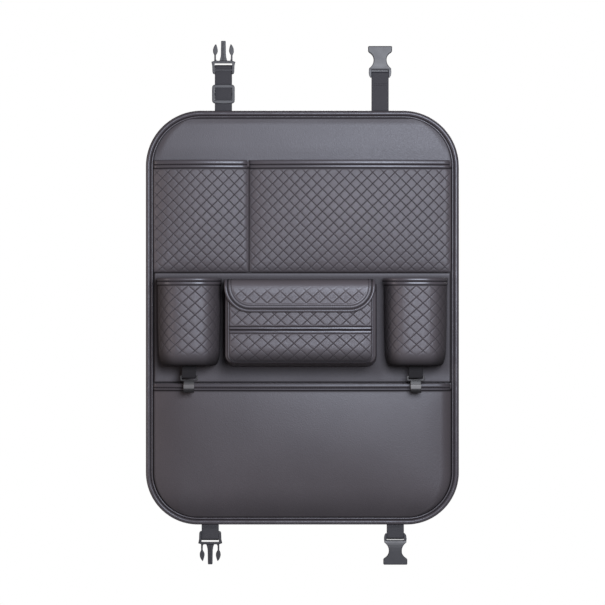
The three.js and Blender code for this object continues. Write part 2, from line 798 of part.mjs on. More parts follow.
// The flap's piping runs down one side edge, round the front corners and back up the other side.
function flapPiping(bottom, corner) {
  const profile = flapProfile(bottom).getSpacedPoints(60);
  const middle = sheetThickness / 2;
  const turn = bottom + corner;
  const sideLine = profile.filter((p) => p.y > turn + 1 && p.x > boxBack + flapPipingRadius);
  const nearer = (z) => (best, p) => (Math.abs(p.y - z) < Math.abs(best.y - z) ? p : best);
  const forwardAt = (z) => profile.reduce(nearer(z)).x;
  const sunk = sheetThickness - flapPipingRadius;
  const start = at(flapCentre - flapHalf, boxBack + flapPipingRadius, flapTop + sunk);
  const side = sideLine.filter((unused, k) => k % 6 === 3)
    .map((p) => at(flapCentre - flapHalf, p.x + middle, p.y + sunk));
  const arc = [];
  for (let s = 0; s <= 10; s += 1) {
    const angle = (1 + s / 20) * Math.PI;
    const z = turn + corner * Math.sin(angle);
    arc.push(at(flapCentre - flapHalf + corner * (1 + Math.cos(angle)), forwardAt(z) + middle, z));
  }
  const leftHalf = [start, ...side, ...arc];
  const rightHalf = leftHalf.map((p) => new THREE.Vector3(2 * flapCentre - p.x, p.y, p.z)).reverse();
  return pipe([...leftHalf, ...rightHalf], flapPipingRadius);
}

// Folded webbing seen from the side: two plies that part round a bar, in forward and z from the bar.
// The strap runs down from the bar, and tail is the height of its lower end.
function strapShape(tail, boreRadius, flare, tab = 0) {
  const inside = boreRadius + runClear;
  const outside = inside + strapPly;
  const shape = new THREE.Shape();
  const foot = tab > 0 ? tail - strapPly : tail;
  shape.absarc(0, 0, outside, 0, Math.PI, true);
  shape.lineTo(-strapPly, flare);
  shape.lineTo(-strapPly, foot);
  if (tab > 0) {
    shape.lineTo(-tab / 2, foot);
    shape.lineTo(-tab / 2, tail);
    shape.lineTo(tab / 2, tail);
    shape.lineTo(tab / 2, foot);
  }
  shape.lineTo(strapPly, foot);
  shape.lineTo(strapPly, flare);
  const bore = new THREE.Path();
  bore.absarc(0, 0, inside, Math.PI, 2 * Math.PI, false);
  bore.lineTo(0, flare - strapPly);
  shape.holes.push(bore);
  return shape;
}

// Webbing from the panel's edge to a bar. side is 1 above the panel and -1 below it.
function makeStrap(name, x, barHeight, side) {
  const tail = Math.abs(barHeight) - (panelHeight / 2 - strapTail);
  const geometry = sideExtrude(strapShape(tail, barRadius, strapFlare), -strapWidth / 2, strapWidth / 2, 6);
  const strap = named(name, geometry, webbing);
  strap.position.copy(at(x, strapForward, barHeight));
  strap.rotation.y = side > 0 ? Math.PI : 0;
  return strap;
}

function buckleInside() {
  return strapWidth / 2 + railClear;
}

// Outline of a leaf-shaped latch head on the right-hand arm, joined to its stem.
function armShape() {
  const middle = buckleInside() - armStem / 2 + 0.6;
  const inner = middle - armStem / 2;
  const outer = middle + armStem / 2;
  const shape = new THREE.Shape();
  shape.moveTo(inner - armRoot, maleBase - 1.5);
  shape.lineTo(outer, maleBase - 1.5);
  shape.lineTo(outer, armHeadStart);
  shape.quadraticCurveTo(outer + 2.4, armHeadStart + 3, outer + 1.8, armHeadStart + 8);
  shape.quadraticCurveTo(outer + 0.6, armHeadEnd - 2.4, middle - 1.2, armHeadEnd);
  shape.quadraticCurveTo(middle - 2.6, armHeadEnd - 2, inner - 2.6, armHeadStart + 7);
  shape.quadraticCurveTo(inner - 2.8, armHeadStart + 3, inner, armHeadStart);
  shape.lineTo(inner, maleBase + armRootHeight);
  shape.quadraticCurveTo(inner, maleBase, inner - armRoot, maleBase - 0.2);
  return shape;
}

function mirrored(geometry) {
  return solidFromGeometry(geometry.clone().applyMatrix4(new THREE.Matrix4().makeScale(-1, 1, 1)));
}

function solidFromGeometry(geometry) {
  const bare = geometry.clone();
  bare.deleteAttribute('normal');
  bare.deleteAttribute('uv');
  const merged = mergeVertices(bare, 1e-4);
  const points = [];
  for (let k = 0; k < merged.attributes.position.count; k += 1) {
    points.push(new THREE.Vector3().fromBufferAttribute(merged.attributes.position, k));
  }
  return solidFrom(points, Array.from(merged.index.array));
}

// Male half: a strap frame with ears, a centre prong and two sprung arms. keeperSide is 1 where
// the keeper bar crosses in front of the webbing and -1 where it crosses behind.
function maleBuckle(keeperSide) {
  const half = buckleWidth / 2;
  const inside = buckleInside();
  const frame = new THREE.Shape();
  frame.moveTo(-half, maleBase - 1.6);
  frame.lineTo(-half + 1.2, maleBase - 7);
  frame.lineTo(-maleEarWidth / 2, maleEarEnd + 3);
  frame.quadraticCurveTo(-maleEarWidth / 2 + 0.4, maleEarEnd + 0.6, -inside - 0.9, maleEarEnd);
  frame.lineTo(inside + 0.9, maleEarEnd);
  frame.quadraticCurveTo(maleEarWidth / 2 - 0.4, maleEarEnd + 0.6, maleEarWidth / 2, maleEarEnd + 3);
  frame.lineTo(half - 1.2, maleBase - 7);
  frame.lineTo(half, maleBase - 1.6);
  frame.lineTo(inside, maleBase);
  frame.lineTo(-inside, maleBase);
  const prong = new THREE.Shape();
  prong.moveTo(-prongFlare / 2, maleBase - 1);
  prong.lineTo(prongFlare / 2, maleBase - 1);
  prong.quadraticCurveTo(prongWidth / 2 + 0.4, maleBase + 3, prongWidth / 2, maleBase + 9);
  prong.lineTo(prongWidth / 2 - 0.3, prongTip - 0.8);
  prong.lineTo(prongWidth / 2 - 1, prongTip);
  prong.lineTo(1 - prongWidth / 2, prongTip);
  prong.lineTo(0.3 - prongWidth / 2, prongTip - 0.8);
  prong.lineTo(-prongWidth / 2, maleBase + 9);
  prong.quadraticCurveTo(-prongWidth / 2 - 0.4, maleBase + 3, -prongFlare / 2, maleBase - 1);
  const keeperNear = barRadius + runClear + strapPly + runClear;
  const keeperFar = keeperNear + keeperBar;
  const reach = Math.max(maleHalfDepth, keeperFar);
  const [low, high] = keeperSide > 0 ? [-maleHalfDepth, reach] : [-reach, maleHalfDepth];
  const keeper = keeperSide > 0 ? [keeperNear, keeperFar] : [-keeperFar, -keeperNear];
  const arm = frontExtrude(armShape(), -armHeadThickness / 2, armHeadThickness / 2, 0.6, 4);
  const rails = cut(
    frontExtrude(frame, low, high, 0.6, 3),
    block(-inside, inside, low - 1, high + 1, maleEarEnd - 1, buckleSlot),
  );
  const ribHalf = prongThickness / 2 + prongRib / 2;
  return joined(
    rails,
    frontExtrude(prong, -prongThickness / 2, prongThickness / 2, 0.5, 3),
    block(-prongRib / 2, prongRib / 2, -ribHalf, ribHalf, maleBase - 1, prongTip - 3),
    arm,
    mirrored(arm),
    crossRod(barRadius, inside + 1),
    block(-inside - 1, inside + 1, ...keeper, -5.3, -3.4),
  );
}

// Female half: a hollow mouth for the prong and arms, side windows at its neck and a strap bar.
// slotBackDrop is how far a web behind the strap slot comes down over it.
function femaleBuckle(slotBackDrop) {
  const mouthHalf = buckleWidth / 2;
  const inside = buckleInside();
  const outline = new THREE.Shape();
  const half = [
    [inside + 1.2, femaleRailEnd], [femaleStrapHalf - 0.6, femaleRailEnd + 3],
    [femaleStrapHalf, 2], [femaleStrapHalf - 0.4, buckleSlot + 2],
  ];
  outline.moveTo(...half[0]);
  for (const [x, z] of half.slice(1)) outline.lineTo(x, z);
  outline.quadraticCurveTo(femaleNeckHalf, buckleSlot + 7, femaleNeckHalf, femaleNeckHeight);
  outline.quadraticCurveTo(femaleNeckHalf, femaleMouthStart - 4, mouthHalf - 1, femaleMouthStart);
  outline.lineTo(mouthHalf, femaleMouthStart + 1.6);
  outline.lineTo(mouthHalf, femaleLength - 1);
  outline.lineTo(mouthHalf - 1, femaleLength);
  outline.lineTo(1 - mouthHalf, femaleLength);
  outline.lineTo(-mouthHalf, femaleLength - 1);
  outline.lineTo(-mouthHalf, femaleMouthStart + 1.6);
  outline.lineTo(1 - mouthHalf, femaleMouthStart);
  outline.quadraticCurveTo(-femaleNeckHalf, femaleMouthStart - 4, -femaleNeckHalf, femaleNeckHeight);
  outline.quadraticCurveTo(-femaleNeckHalf, buckleSlot + 7, 0.4 - femaleStrapHalf, buckleSlot + 2);
  for (const [x, z] of [...half].reverse().slice(1)) outline.lineTo(-x, z);
  const profile = new THREE.Shape();
  profile.moveTo(-femaleStrapHalfDepth, femaleRailEnd - 1);
  profile.lineTo(femaleStrapHalfDepth, femaleRailEnd - 1);
  profile.lineTo(femaleStrapHalfDepth, buckleSlot);
  profile.quadraticCurveTo(femaleHalfDepth, buckleSlot + 3, femaleHalfDepth, femaleNeckHeight);
  profile.lineTo(femaleHalfDepth, femaleLength + 1);
  profile.lineTo(-femaleHalfDepth, femaleLength + 1);
  profile.lineTo(-femaleHalfDepth, femaleNeckHeight);
  profile.quadraticCurveTo(-femaleHalfDepth, buckleSlot + 3, -femaleStrapHalfDepth, buckleSlot);
  const blank = common(
    frontExtrude(outline, -femaleHalfDepth, femaleHalfDepth, 0.8, 4),
    sideExtrude(profile, -mouthHalf - 1, mouthHalf + 1, 4),
  );
  const hollow = mouthHalf - femaleWall - 0.8;
  const hollowDepth = femaleHalfDepth - femaleWall;
  const shell = cut(
    blank,
    block(-inside, inside, -femaleHalfDepth - 1, femaleHalfDepth + 1, femaleRailEnd - 1, buckleSlot),
    block(-hollow, hollow, -hollowDepth, hollowDepth, femaleFloor, femaleLength + 1),
  );
  const guideInner = prongWidth / 2 + 2 * runClear;
  const rib = (x) => block(x, x + guideRib, -hollowDepth - 0.5, hollowDepth + 0.5, femaleFloor - 1, guideEnd);
  const slotBack = block(
    -inside - 1,
    inside + 1,
    -femaleStrapHalfDepth,
    slotBackThickness - femaleStrapHalfDepth,
    buckleSlot - slotBackDrop,
    buckleSlot + 1,
  );
  const bar = crossRod(barRadius, inside + 1);
  return joined(shell, rib(guideInner), rib(-guideInner - guideRib), slotBack, bar);
}

function makeBuckle(name, geometry, x, barHeight) {
  const buckle = named(name, geometry, plastic);
  buckle.position.copy(at(x, strapForward, barHeight));
  buckle.rotation.y = barHeight > 0 ? 0 : Math.PI;
  return buckle;
}

// The tri-glide: two outer bars in front of the webbing, rails beside it and one bar behind it.
function makeTriGlide() {
  const half = glideWidth / 2;
  const tall = glideLength / 2;
  const front = strapPly + runClear + glideBarDepth;
  const corner = glideCorner;
  const frame = new THREE.Shape();
  frame.moveTo(corner - half, -tall);
  frame.quadraticCurveTo(0, -tall - glideCrown, half - corner, -tall);
  frame.quadraticCurveTo(half, -tall, half, corner - tall);
  frame.lineTo(half, tall - corner);
  frame.quadraticCurveTo(half, tall, half - corner, tall);
  frame.quadraticCurveTo(0, tall + glideCrown, corner - half, tall);
  frame.quadraticCurveTo(-half, tall, -half, tall - corner);
  frame.lineTo(-half, corner - tall);
  frame.quadraticCurveTo(-half, -tall, corner - half, -tall);
  const inside = buckleInside();
  const body = cut(
    frontExtrude(frame, -front, front, 0.6, 4),
    block(-inside, inside, -front - 1, strapPly + runClear, -tall - 2, tall + 2),
    block(-inside, inside, -front - 1, front + 1, glideBar - tall, tall - glideBar),
  );
  const rearHalf = glideRearBar / 2;
  const rearBar = block(-inside - 1, inside + 1, -front, -strapPly - runClear, -rearHalf, rearHalf);
  const glide = named('tri_glide', joined(body, rearBar), plastic);
  glide.position.copy(at(topLeftStrapX, strapForward, glideHeight));
  return glide;
}

// A bag hook: a head ring round the webbing's loop and an upturned tongue.
function hookGeometry() {
  const half = hookHeadWidth / 2;
  const inside = hookStrapWidth / 2 + railClear;
  const bridgeTop = -hookSlot;
  const bridgeBottom = bridgeTop - hookBridge;
  const head = new THREE.Shape();
  head.moveTo(1.5 - half, bridgeBottom);
  head.lineTo(half - 1.5, bridgeBottom);
  head.lineTo(half, bridgeBottom + 1.5);
  head.lineTo(half, hookBarRadius);
  head.lineTo(-half, hookBarRadius);
  head.lineTo(-half, bridgeBottom + 1.5);
  const ring = cut(
    frontExtrude(head, -hookRailDepth / 2, hookRailDepth / 2, 0.4),
    block(-inside, inside, -hookRailDepth, hookRailDepth, bridgeTop, hookBarRadius + 1),
  );
  const back = -hookStock / 2;
  const bendCentre = hookStock / 2 + hookMouth / 2;
  const outer = hookMouth / 2 + hookStock;
  const tip = -hookLipHeight;
  const tongue = new THREE.Shape();
  tongue.moveTo(back, bridgeTop - 0.5);
  tongue.lineTo(back, -hookReach);
  tongue.absarc(bendCentre, -hookReach, outer, Math.PI, 2 * Math.PI, false);
  tongue.lineTo(bendCentre + outer, tip);
  tongue.absarc(bendCentre + outer - hookStock / 2, tip, hookStock / 2, 0, Math.PI, false);
  tongue.lineTo(bendCentre + hookMouth / 2, -hookReach);
  tongue.absarc(bendCentre, -hookReach, hookMouth / 2, 2 * Math.PI, Math.PI, true);
  tongue.lineTo(hookStock / 2, bridgeTop - 0.5);
  return joined(
    ring,
    sideExtrude(tongue, -hookWidth / 2, hookWidth / 2, 5),
    crossRod(hookBarRadius, inside + 1),
  );
}

function makeHook(side, centre) {
  const tail = hookBarDrop - seat;
  const shape = strapShape(tail, hookBarRadius, 8, hookTab);
  const loop = sideExtrude(shape, -hookStrapWidth / 2, hookStrapWidth / 2, 6);
  const strap = named(`${side}_hook_strap`, loop, webbing);
  const hook = named(`${side}_bag_hook`, hookGeometry(), plastic);
  strap.position.copy(at(centre, cupHookForward, hookBarHeight));
  hook.position.copy(at(centre, cupHookForward, hookBarHeight));
  return [strap, hook];
}

const organizer = new THREE.Group();
organizer.add(makeLining(), makeBoard(), makeCover(), makeEdgeBinding());
organizer.add(...makeUpperPocket(
  'upper_left_pocket',
  -pocketHalfWidth,
  pocketDivide - seat,
  leftPocketBulge,
  leftPocketEdgeRise,
));
organizer.add(...makeUpperPocket(
  'upper_right_pocket',
  pocketDivide + seat,
  pocketHalfWidth,
  rightPocketBulge,
  0,
));
organizer.add(makeMiddlePanel(), ...makeLowerPocket());
organizer.add(...makeCup('left', -cupOffset), ...makeCup('right', cupOffset));
organizer.add(makeGusset(), ...makeBoxFront(), ...makeFlap());
organizer.add(...makeHook('left', -cupOffset), ...makeHook('right', cupOffset));
organizer.add(makeStrap('top_left_strap', topLeftStrapX, topLeftBarHeight, 1));
organizer.add(makeStrap('top_right_strap', topRightStrapX, topRightBarHeight, 1));
organizer.add(makeStrap('bottom_left_strap', bottomLeftStrapX, bottomLeftBarHeight, -1));
organizer.add(makeStrap('bottom_right_strap', bottomRightStrapX, bottomRightBarHeight, -1));
const topFemale = femaleBuckle(topSlotBackDrop);
const bottomFemale = femaleBuckle(bottomSlotBackDrop);
organizer.add(makeBuckle('top_left_male_buckle', maleBuckle(1), topLeftStrapX, topLeftBarHeight));
organizer.add(makeBuckle('top_right_female_buckle', topFemale, topRightStrapX, topRightBarHeight));
organizer.add(makeBuckle('bottom_left_male_buckle', maleBuckle(-1), bottomLeftStrapX, bottomLeftBarHeight));
organizer.add(makeBuckle('bottom_right_female_buckle', bottomFemale, bottomRightStrapX, bottomRightBarHeight));
organizer.add(makeTriGlide());

export default organizer;
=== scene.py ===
"""Looks of the car seat back organizer: leatherette, quilting, stitches, webbing and moulded plastic.

Shapes are worked out in millimetres as x, forward and z, where forward is the distance in front of
the panel's back face, and turned into metres in the part's frame when a mesh is made.
"""

import math

import bpy
import numpy as np
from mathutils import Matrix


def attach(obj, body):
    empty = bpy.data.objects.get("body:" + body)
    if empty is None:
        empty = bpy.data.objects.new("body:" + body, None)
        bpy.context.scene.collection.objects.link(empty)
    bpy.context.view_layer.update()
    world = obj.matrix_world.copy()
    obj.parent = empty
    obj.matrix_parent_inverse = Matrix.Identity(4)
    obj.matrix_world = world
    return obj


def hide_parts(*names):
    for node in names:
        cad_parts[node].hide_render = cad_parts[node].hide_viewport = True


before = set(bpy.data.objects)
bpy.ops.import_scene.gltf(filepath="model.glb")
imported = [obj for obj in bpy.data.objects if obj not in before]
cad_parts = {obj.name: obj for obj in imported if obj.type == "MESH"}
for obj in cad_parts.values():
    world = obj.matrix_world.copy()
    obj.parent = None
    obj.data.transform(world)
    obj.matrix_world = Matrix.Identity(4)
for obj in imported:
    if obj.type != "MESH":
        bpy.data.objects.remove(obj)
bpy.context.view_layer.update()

MM = 0.001

# Panel and its layers
PANEL_W, PANEL_H = 450.0, 595.0
TOP_R, BOTTOM_R = 80.0, 75.0
BINDING_W = 10.5
BINDING_STEP = 4.0
COVER_INSET = 7.0
COVER_FRONT = 6.0
SHEET = 1.2

# Upper pockets, middle panel and lower pocket
UPPER_TOP, UPPER_BOTTOM = 226.0, 65.6
DIVIDE = -76.7
POCKET_INSET = 11.5
POCKET_HALF = PANEL_W / 2 - POCKET_INSET
POCKET_BACK = COVER_FRONT + 0.3
HEM, LOWER_HEM, HEM_BAND = 11.4, 10.1, 6.2
LOWER_TOP = -94.0
LOWER_BOTTOM = POCKET_INSET - PANEL_H / 2

# Cloth simulation: the spacing of its points, and its number of frames
TRIAL_STEP, TRIAL_FRAMES = 6.2, 18

# Cup pockets
CUP_X, CUP_W, CUP_DEPTH, CUP_BOW = 162.0, 91.5, 58.0, 2.5
CUP_SQUARENESS = 3.0
CUP_CURL, CUP_TUCK = 17.0, 11.0
CUP_TOP, CUP_BOTTOM = 57.0, -67.6
CUP_BACK = 7.8
CUP_HEM, CUP_HEM_BAND = 10.2, 4.8

# Tissue box and its flap
BOX_X = -2.6
BOX_BASE_W, BOX_FRONT_W = 220.0, 205.0
BOX_BASE_Z, BOX_FRONT_Z = -71.6, -63.0
BOX_BASE_CORNER, BOX_FRONT_CORNER = 16, 10
BOX_BACK_TOP, BOX_FRONT_TOP = 48.0, 36.0
BOX_BACK, BOX_FRONT = 7.8, 55.8
FACE = 57.1
BOX_PIPE_R = 1.0
FACE_HALF = BOX_FRONT_W / 2 - BOX_PIPE_R - 0.3
FACE_FOOT = BOX_FRONT_Z + BOX_PIPE_R + 0.3
FACE_BOW = 3.2  # how far the box's front stands out in its middle
SLIT_Z, SLIT_GAP, LIP_H = -17.2, 2.1, 3.7
FLAP_X, FLAP_HALF = -3.7, 105.2
FLAP_TOP, FLAP_BOTTOM = 54.8, 10.1
FLAP_INNER = 62.5
FLAP_CORNER = 34.7
FLAP_PIPE_R = 2.3
FLAP_SEAMS = (3.7, 7.2)
FLAP_LEAN = 2.4

# Straps
STRAP_W, STRAP_PLY = 24.4, 1.3
STRAP_FORWARD = 3.0
STRAP_SEAMS = (14.5, 16.9)
STRAPS = (
    ("top_left_strap", -113.5, 360.0, 1),
    ("top_right_strap", 111.7, 350.5, 1),
    ("bottom_left_strap", -132.5, -316.9, -1),
    ("bottom_right_strap", 133.6, -315.4, -1),
)
# The tri-glide holds this strap's loop, so it isn't sewn there
ADJUSTED_STRAP = "top_left_strap"
HOOK_Z = CUP_BOTTOM - 16.4
HOOK_FORWARD = CUP_BACK + CUP_DEPTH / 2

# Quilting and stitches
QUILT = (16.0, 16.0)
SMALL_QUILT = (18.6, 16.9)
GROOVE = 0.08
PRESSED, RAISED = 1.5, 2.06
THREAD_R = 0.32


# Shapes as arrays of x, forward and z

def smooth(t):
    """An eased step from 0 to 1."""
    t = np.clip(t, 0, 1)
    return t * t * (3 - 2 * t)


def stretch_matrix(count, fine):
    """Cubic weights that turn count samples into fine samples."""
    t = np.linspace(0, count - 1, fine)
    i = np.minimum(t.astype(int), count - 2)
    f = t - i
    weights = (
        (-1, -0.5 * f + f**2 - 0.5 * f**3),
        (0, 1 - 2.5 * f**2 + 1.5 * f**3),
        (1, 0.5 * f + 2 * f**2 - 1.5 * f**3),
        (2, -0.5 * f**2 + 0.5 * f**3),
    )
    m = np.zeros((fine, count + 2))
    rows = np.arange(fine)
    for k, w in weights:
        np.add.at(m, (rows, i + k + 1), w)
    m[:, 1] += 2 * m[:, 0]
    m[:, 2] -= m[:, 0]
    m[:, count] += 2 * m[:, count + 1]
    m[:, count - 1] -= m[:, count + 1]
    return m[:, 1 : count + 1]


def bell(distance, width):
    """1 at no distance, and next to nothing beyond twice the width."""
    return np.exp(-((distance / width) ** 2))


def refined(p, rows, columns):
    """A grid of points on the same smooth surface, with more rows and columns."""
    up = np.einsum("ab,bcd->acd", stretch_matrix(p.shape[0], rows), p)
    return np.einsum("ab,cbd->cad", stretch_matrix(p.shape[1], columns), up)


def unit(v):
    return v / np.maximum(np.linalg.norm(v, axis=-1, keepdims=True), 1e-9)


def grid_normals(p):
    return unit(np.cross(np.gradient(p, axis=0), np.gradient(p, axis=1)))


def line_normals(line):
    """Normals of a line in a plane, to the left of its direction."""
    along = unit(np.gradient(line, axis=0))
    return np.stack([-along[:, 1], along[:, 0]], axis=1)


def facing_forward(count):
    return np.tile([0.0, 1.0, 0.0], (count, 1))


def reach_along(path):
    """The length of a line from its start to each of its points."""
    return np.concatenate([[0], np.cumsum(np.linalg.norm(np.diff(path, axis=0), axis=1))])


def at_reach(where, reach, values):
    """The values of a line's points, taken at lengths along it."""
    return np.stack([np.interp(where, reach, column) for column in values.T], axis=1)


def panel_grid(half, zs, u):
    """x and z of a grid with a row at each height, u times as far out as the half width there."""
    return half[:, None] * u[None], np.repeat(zs[:, None], len(u), axis=1)


def flat_lengths(p):
    """Cloth coordinates of a grid: the distance across from its middle and up from its bottom."""
    across = np.linalg.norm(np.diff(p, axis=1), axis=-1)
    s = np.concatenate([np.zeros((p.shape[0], 1)), np.cumsum(across, axis=1)], axis=1)
    up = reach_along(p[:, p.shape[1] // 2])
    return s - s[:, -1:] / 2, np.repeat(up[:, None], p.shape[1], axis=1)


def groove_distance(s, t, wide, tall):
    """Distance to the nearest line of a diamond pattern, in mm."""
    span = wide * tall / math.hypot(wide, tall)
    u, v = s / wide + t / tall, s / wide - t / tall
    return np.minimum(abs(u - np.round(u)), abs(v - np.round(v))) * span


def quilt_lift(s, t, size, margin):
    """Height of the quilting over the pressed sheet. It is flat where margin is 0."""
    d = groove_distance(s, t, *size)
    crown = 0.86 * smooth(d / 1.5) + 0.14 * np.sin(np.clip(d / (0.3 * size[0]), 0, 1) * math.pi / 2)
    return (RAISED - PRESSED) * crown * margin


def edge_distance(s, t):
    """Distance of each point of a grid to the grid's nearest edge."""
    return np.minimum.reduce([s - s[:, :1], s[:, -1:] - s, t - t[:1], t[-1:] - t])


def coarse(grid, rows, columns):
    """A grid thinned to a number of rows and columns, with its edges kept."""
    i = np.linspace(0, grid.shape[0] - 1, rows).round().astype(int)
    j = np.linspace(0, grid.shape[1] - 1, columns).round().astype(int)
    return grid[i][:, j]


def quilted(inner, s, t, margin, size, threads):
    """The outer face of a quilted grid, its cloth values for the material, and its stitches."""
    normals = grid_normals(inner)
    front = inner + normals * (PRESSED + quilt_lift(s, t, size, margin))[..., None]
    quilt_stitches(threads, front, normals, s, t, margin, size)
    return front, np.stack([s / size[0], t / size[1], margin], axis=-1)


# Meshes

def added(name, data):
    """A new object in the scene."""
    thing = bpy.data.objects.new(name, data)
    bpy.context.scene.collection.objects.link(thing)
    return thing


def set_values(mesh, name, kind, values):
    """A value for each vertex. Those past the end of values get 0."""
    full = np.zeros((len(mesh.vertices),) + values.shape[1:])
    full[: len(values)] = values
    layer = mesh.attributes.new(name, kind, "POINT")
    layer.data.foreach_set("vector" if kind == "FLOAT_VECTOR" else "value", full.ravel())


def make(name, points, faces, slot, replaces=(), body="panel", cloth=None, painted_shade=None):
    """A mesh object from points in mm and arrays of quads or triangles, turned to face out.

    cloth is the quilting's coordinates and strength, and the last argument is painted shade: how dark each
    point is painted. Both are for the first vertices.
    """
    co = points * [MM, -MM, MM]
    volume = 0.0
    for f in faces:
        a, b, c = co[f[:, 0]], co[f[:, 1]], co[f[:, 2]]
        volume += np.einsum("ij,ij->", a, np.cross(b, c))
        if f.shape[1] == 4:
            d = co[f[:, 3]]
            volume += np.einsum("ij,ij->", a, np.cross(c, d))
    if volume < 0:
        faces = [f[:, ::-1] for f in faces]
    mesh = bpy.data.meshes.new(name)
    mesh.vertices.add(len(co))
    mesh.vertices.foreach_set("co", co.ravel())
    loops = np.concatenate([f.ravel() for f in faces])
    sizes = np.concatenate([np.full(len(f), f.shape[1]) for f in faces])
    mesh.loops.add(len(loops))
    mesh.loops.foreach_set("vertex_index", loops)
    mesh.polygons.add(len(sizes))
    mesh.polygons.foreach_set("loop_start", np.concatenate([[0], np.cumsum(sizes)[:-1]]))
    mesh.polygons.foreach_set("use_smooth", np.full(len(sizes), True))
    mesh.update(calc_edges=True)
    mesh.validate()
    if cloth is not None:
        set_values(mesh, "cloth", "FLOAT_VECTOR", cloth.reshape(-1, 3))
    if painted_shade is not None:
        set_values(mesh, "painted_shade", "FLOAT", painted_shade.ravel())
    piece = added(name, mesh)
    mesh.materials.append(MATERIALS[slot])
    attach(piece, body)
    if replaces:
        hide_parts(*replaces)
    return piece


def chain_faces(front, back):
    """Triangles between two chains of vertices with any number of points each."""
    faces = []
    i = j = 0
    n, m = len(front) - 1, len(back) - 1
    while i < n or j < m:
        if j == m or (i < n and (i + 1) / n <= (j + 1) / m):
            faces.append((front[i + 1], front[i], back[j]))
            i += 1
        else:
            faces.append((front[i], back[j], back[j + 1]))
            j += 1
    return faces


def quads(index):
    """The quads of a grid of vertex numbers."""
    corners = [index[:-1, :-1], index[:-1, 1:], index[1:, 1:], index[1:, :-1]]
    return np.stack(corners, axis=-1).reshape(-1, 4)


def shell_mesh(front, back):
    """Points and faces of a closed sheet from the grids of its two faces."""
    a = np.arange(front.shape[0] * front.shape[1]).reshape(front.shape[:2])
    b = np.arange(back.shape[0] * back.shape[1]).reshape(back.shape[:2]) + a.size
    points = np.concatenate([front.reshape(-1, 3), back.reshape(-1, 3)])
    tris = (
        chain_faces(a[0], b[0])
        + chain_faces(a[:, -1], b[:, -1])
        + chain_faces(a[-1, ::-1], b[-1, ::-1])
        + chain_faces(a[::-1, 0], b[::-1, 0])
    )
    return points, [quads(a), quads(b)[:, ::-1], np.array(tris)]


def sweep(rings, closed=False):
    """Points and faces of a tube from its rings of points. An open one gets end caps."""
    n, k = rings.shape[:2]
    index = np.arange(n * k).reshape(n, k)
    index = np.concatenate([index, index[:, :1]], axis=1)
    if closed:
        index = np.concatenate([index, index[:1]], axis=0)
        return rings.reshape(-1, 3), [quads(index)]
    middle = np.array([rings[0].mean(axis=0), rings[-1].mean(axis=0)])
    points = np.concatenate([rings.reshape(-1, 3), middle])
    first = [(index[0, i + 1], index[0, i], n * k) for i in range(k)]
    last = [(index[-1, i], index[-1, i + 1], n * k + 1) for i in range(k)]
    return points, [quads(index), np.array(first + last)]


def tube(path, normals, radius, sides):
    """A round tube along a path, with one radius or a radius for each point."""
    radius = np.broadcast_to(radius, len(path))[:, None, None]
    along = unit(np.gradient(path, axis=0))
    side = unit(np.cross(along, normals))
    up = np.cross(side, along)
    angle = np.arange(sides) * 2 * math.pi / sides
    rings = (
        path[:, None]
        + radius * np.cos(angle)[None, :, None] * side[:, None]
        + radius * np.sin(angle)[None, :, None] * up[:, None]
    )
    return sweep(rings)


def rounded_section(points, radius):
    """A closed polygon with its corners rounded off, in two steps each."""
    p = np.array(points, float)
    out = []
    for k in range(len(p)):
        a, b, c = p[k - 1], p[k], p[(k + 1) % len(p)]
        r = min(radius, np.linalg.norm(a - b) * 0.45, np.linalg.norm(c - b) * 0.45)
        start, end = b + r * unit(a - b), b + r * unit(c - b)
        for f in (0, 0.5, 1):
            out.append((1 - f) ** 2 * start + 2 * f * (1 - f) * b + f * f * end)
    return np.array(out)


def section_rings(path, normals, section):
    """Rings of a section of (out, up) points along a path."""
    up = np.array([0, 0, 1])
    return path[:, None] + normals[:, None] * section[None, :, :1] + up * section[None, :, 1:]


class Threads:
    """Stitches gathered into one mesh."""

    def __init__(self):
        self.starts, self.ends, self.ups = [], [], []

    def along(self, path, normals, pitch, length, lift):
        """Stitches along a line on a surface."""
        reach = reach_along(path)
        count = int((reach[-1] - length) / pitch)
        if count < 1:
            return
        low = (reach[-1] - count * pitch) / 2 + np.arange(count) * pitch + (pitch - length) / 2
        up = unit(at_reach(low + length / 2, reach, normals))
        self.starts.append(at_reach(low, reach, path) + up * lift)
        self.ends.append(at_reach(low + length, reach, path) + up * lift)
        self.ups.append(up)

    def build(self, name, body):
        """One mesh of all the stitches, each a small spindle of thread."""
        a, b, up = (np.concatenate(v) for v in (self.starts, self.ends, self.ups))
        along = b - a
        side = unit(np.cross(along, up)) * THREAD_R
        rise = unit(up) * THREAD_R
        near, far = a + 0.22 * along, a + 0.78 * along
        rings = [ring + offset for ring in (near, far) for offset in (rise, side, -rise, -side)]
        points = np.stack([a - rise * 0.9, *rings, b - rise * 0.9], axis=1)
        turns = [(k, (k + 1) % 4) for k in range(4)]
        one_quads = np.array([(1 + k, 1 + n, 5 + n, 5 + k) for k, n in turns])
        one_tris = np.array([(0, 1 + n, 1 + k) for k, n in turns] + [(9, 5 + k, 5 + n) for k, n in turns])
        base = (np.arange(len(a)) * 10)[:, None, None]
        faces = [(one_quads + base).reshape(-1, 4), (one_tris + base).reshape(-1, 3)]
        return make(name, points.reshape(-1, 3), faces, "thread", body=body)


def sampled(p, i, j):
    """Values of a grid at fractional column i and row j."""
    i = np.clip(i, 0, p.shape[1] - 1.001)
    j = np.clip(j, 0, p.shape[0] - 1.001)
    i0, j0 = i.astype(int), j.astype(int)
    fi, fj = (i - i0)[:, None], (j - j0)[:, None]
    low = p[j0, i0] * (1 - fi) + p[j0, i0 + 1] * fi
    high = p[j0 + 1, i0] * (1 - fi) + p[j0 + 1, i0 + 1] * fi
    return low * (1 - fj) + high * fj


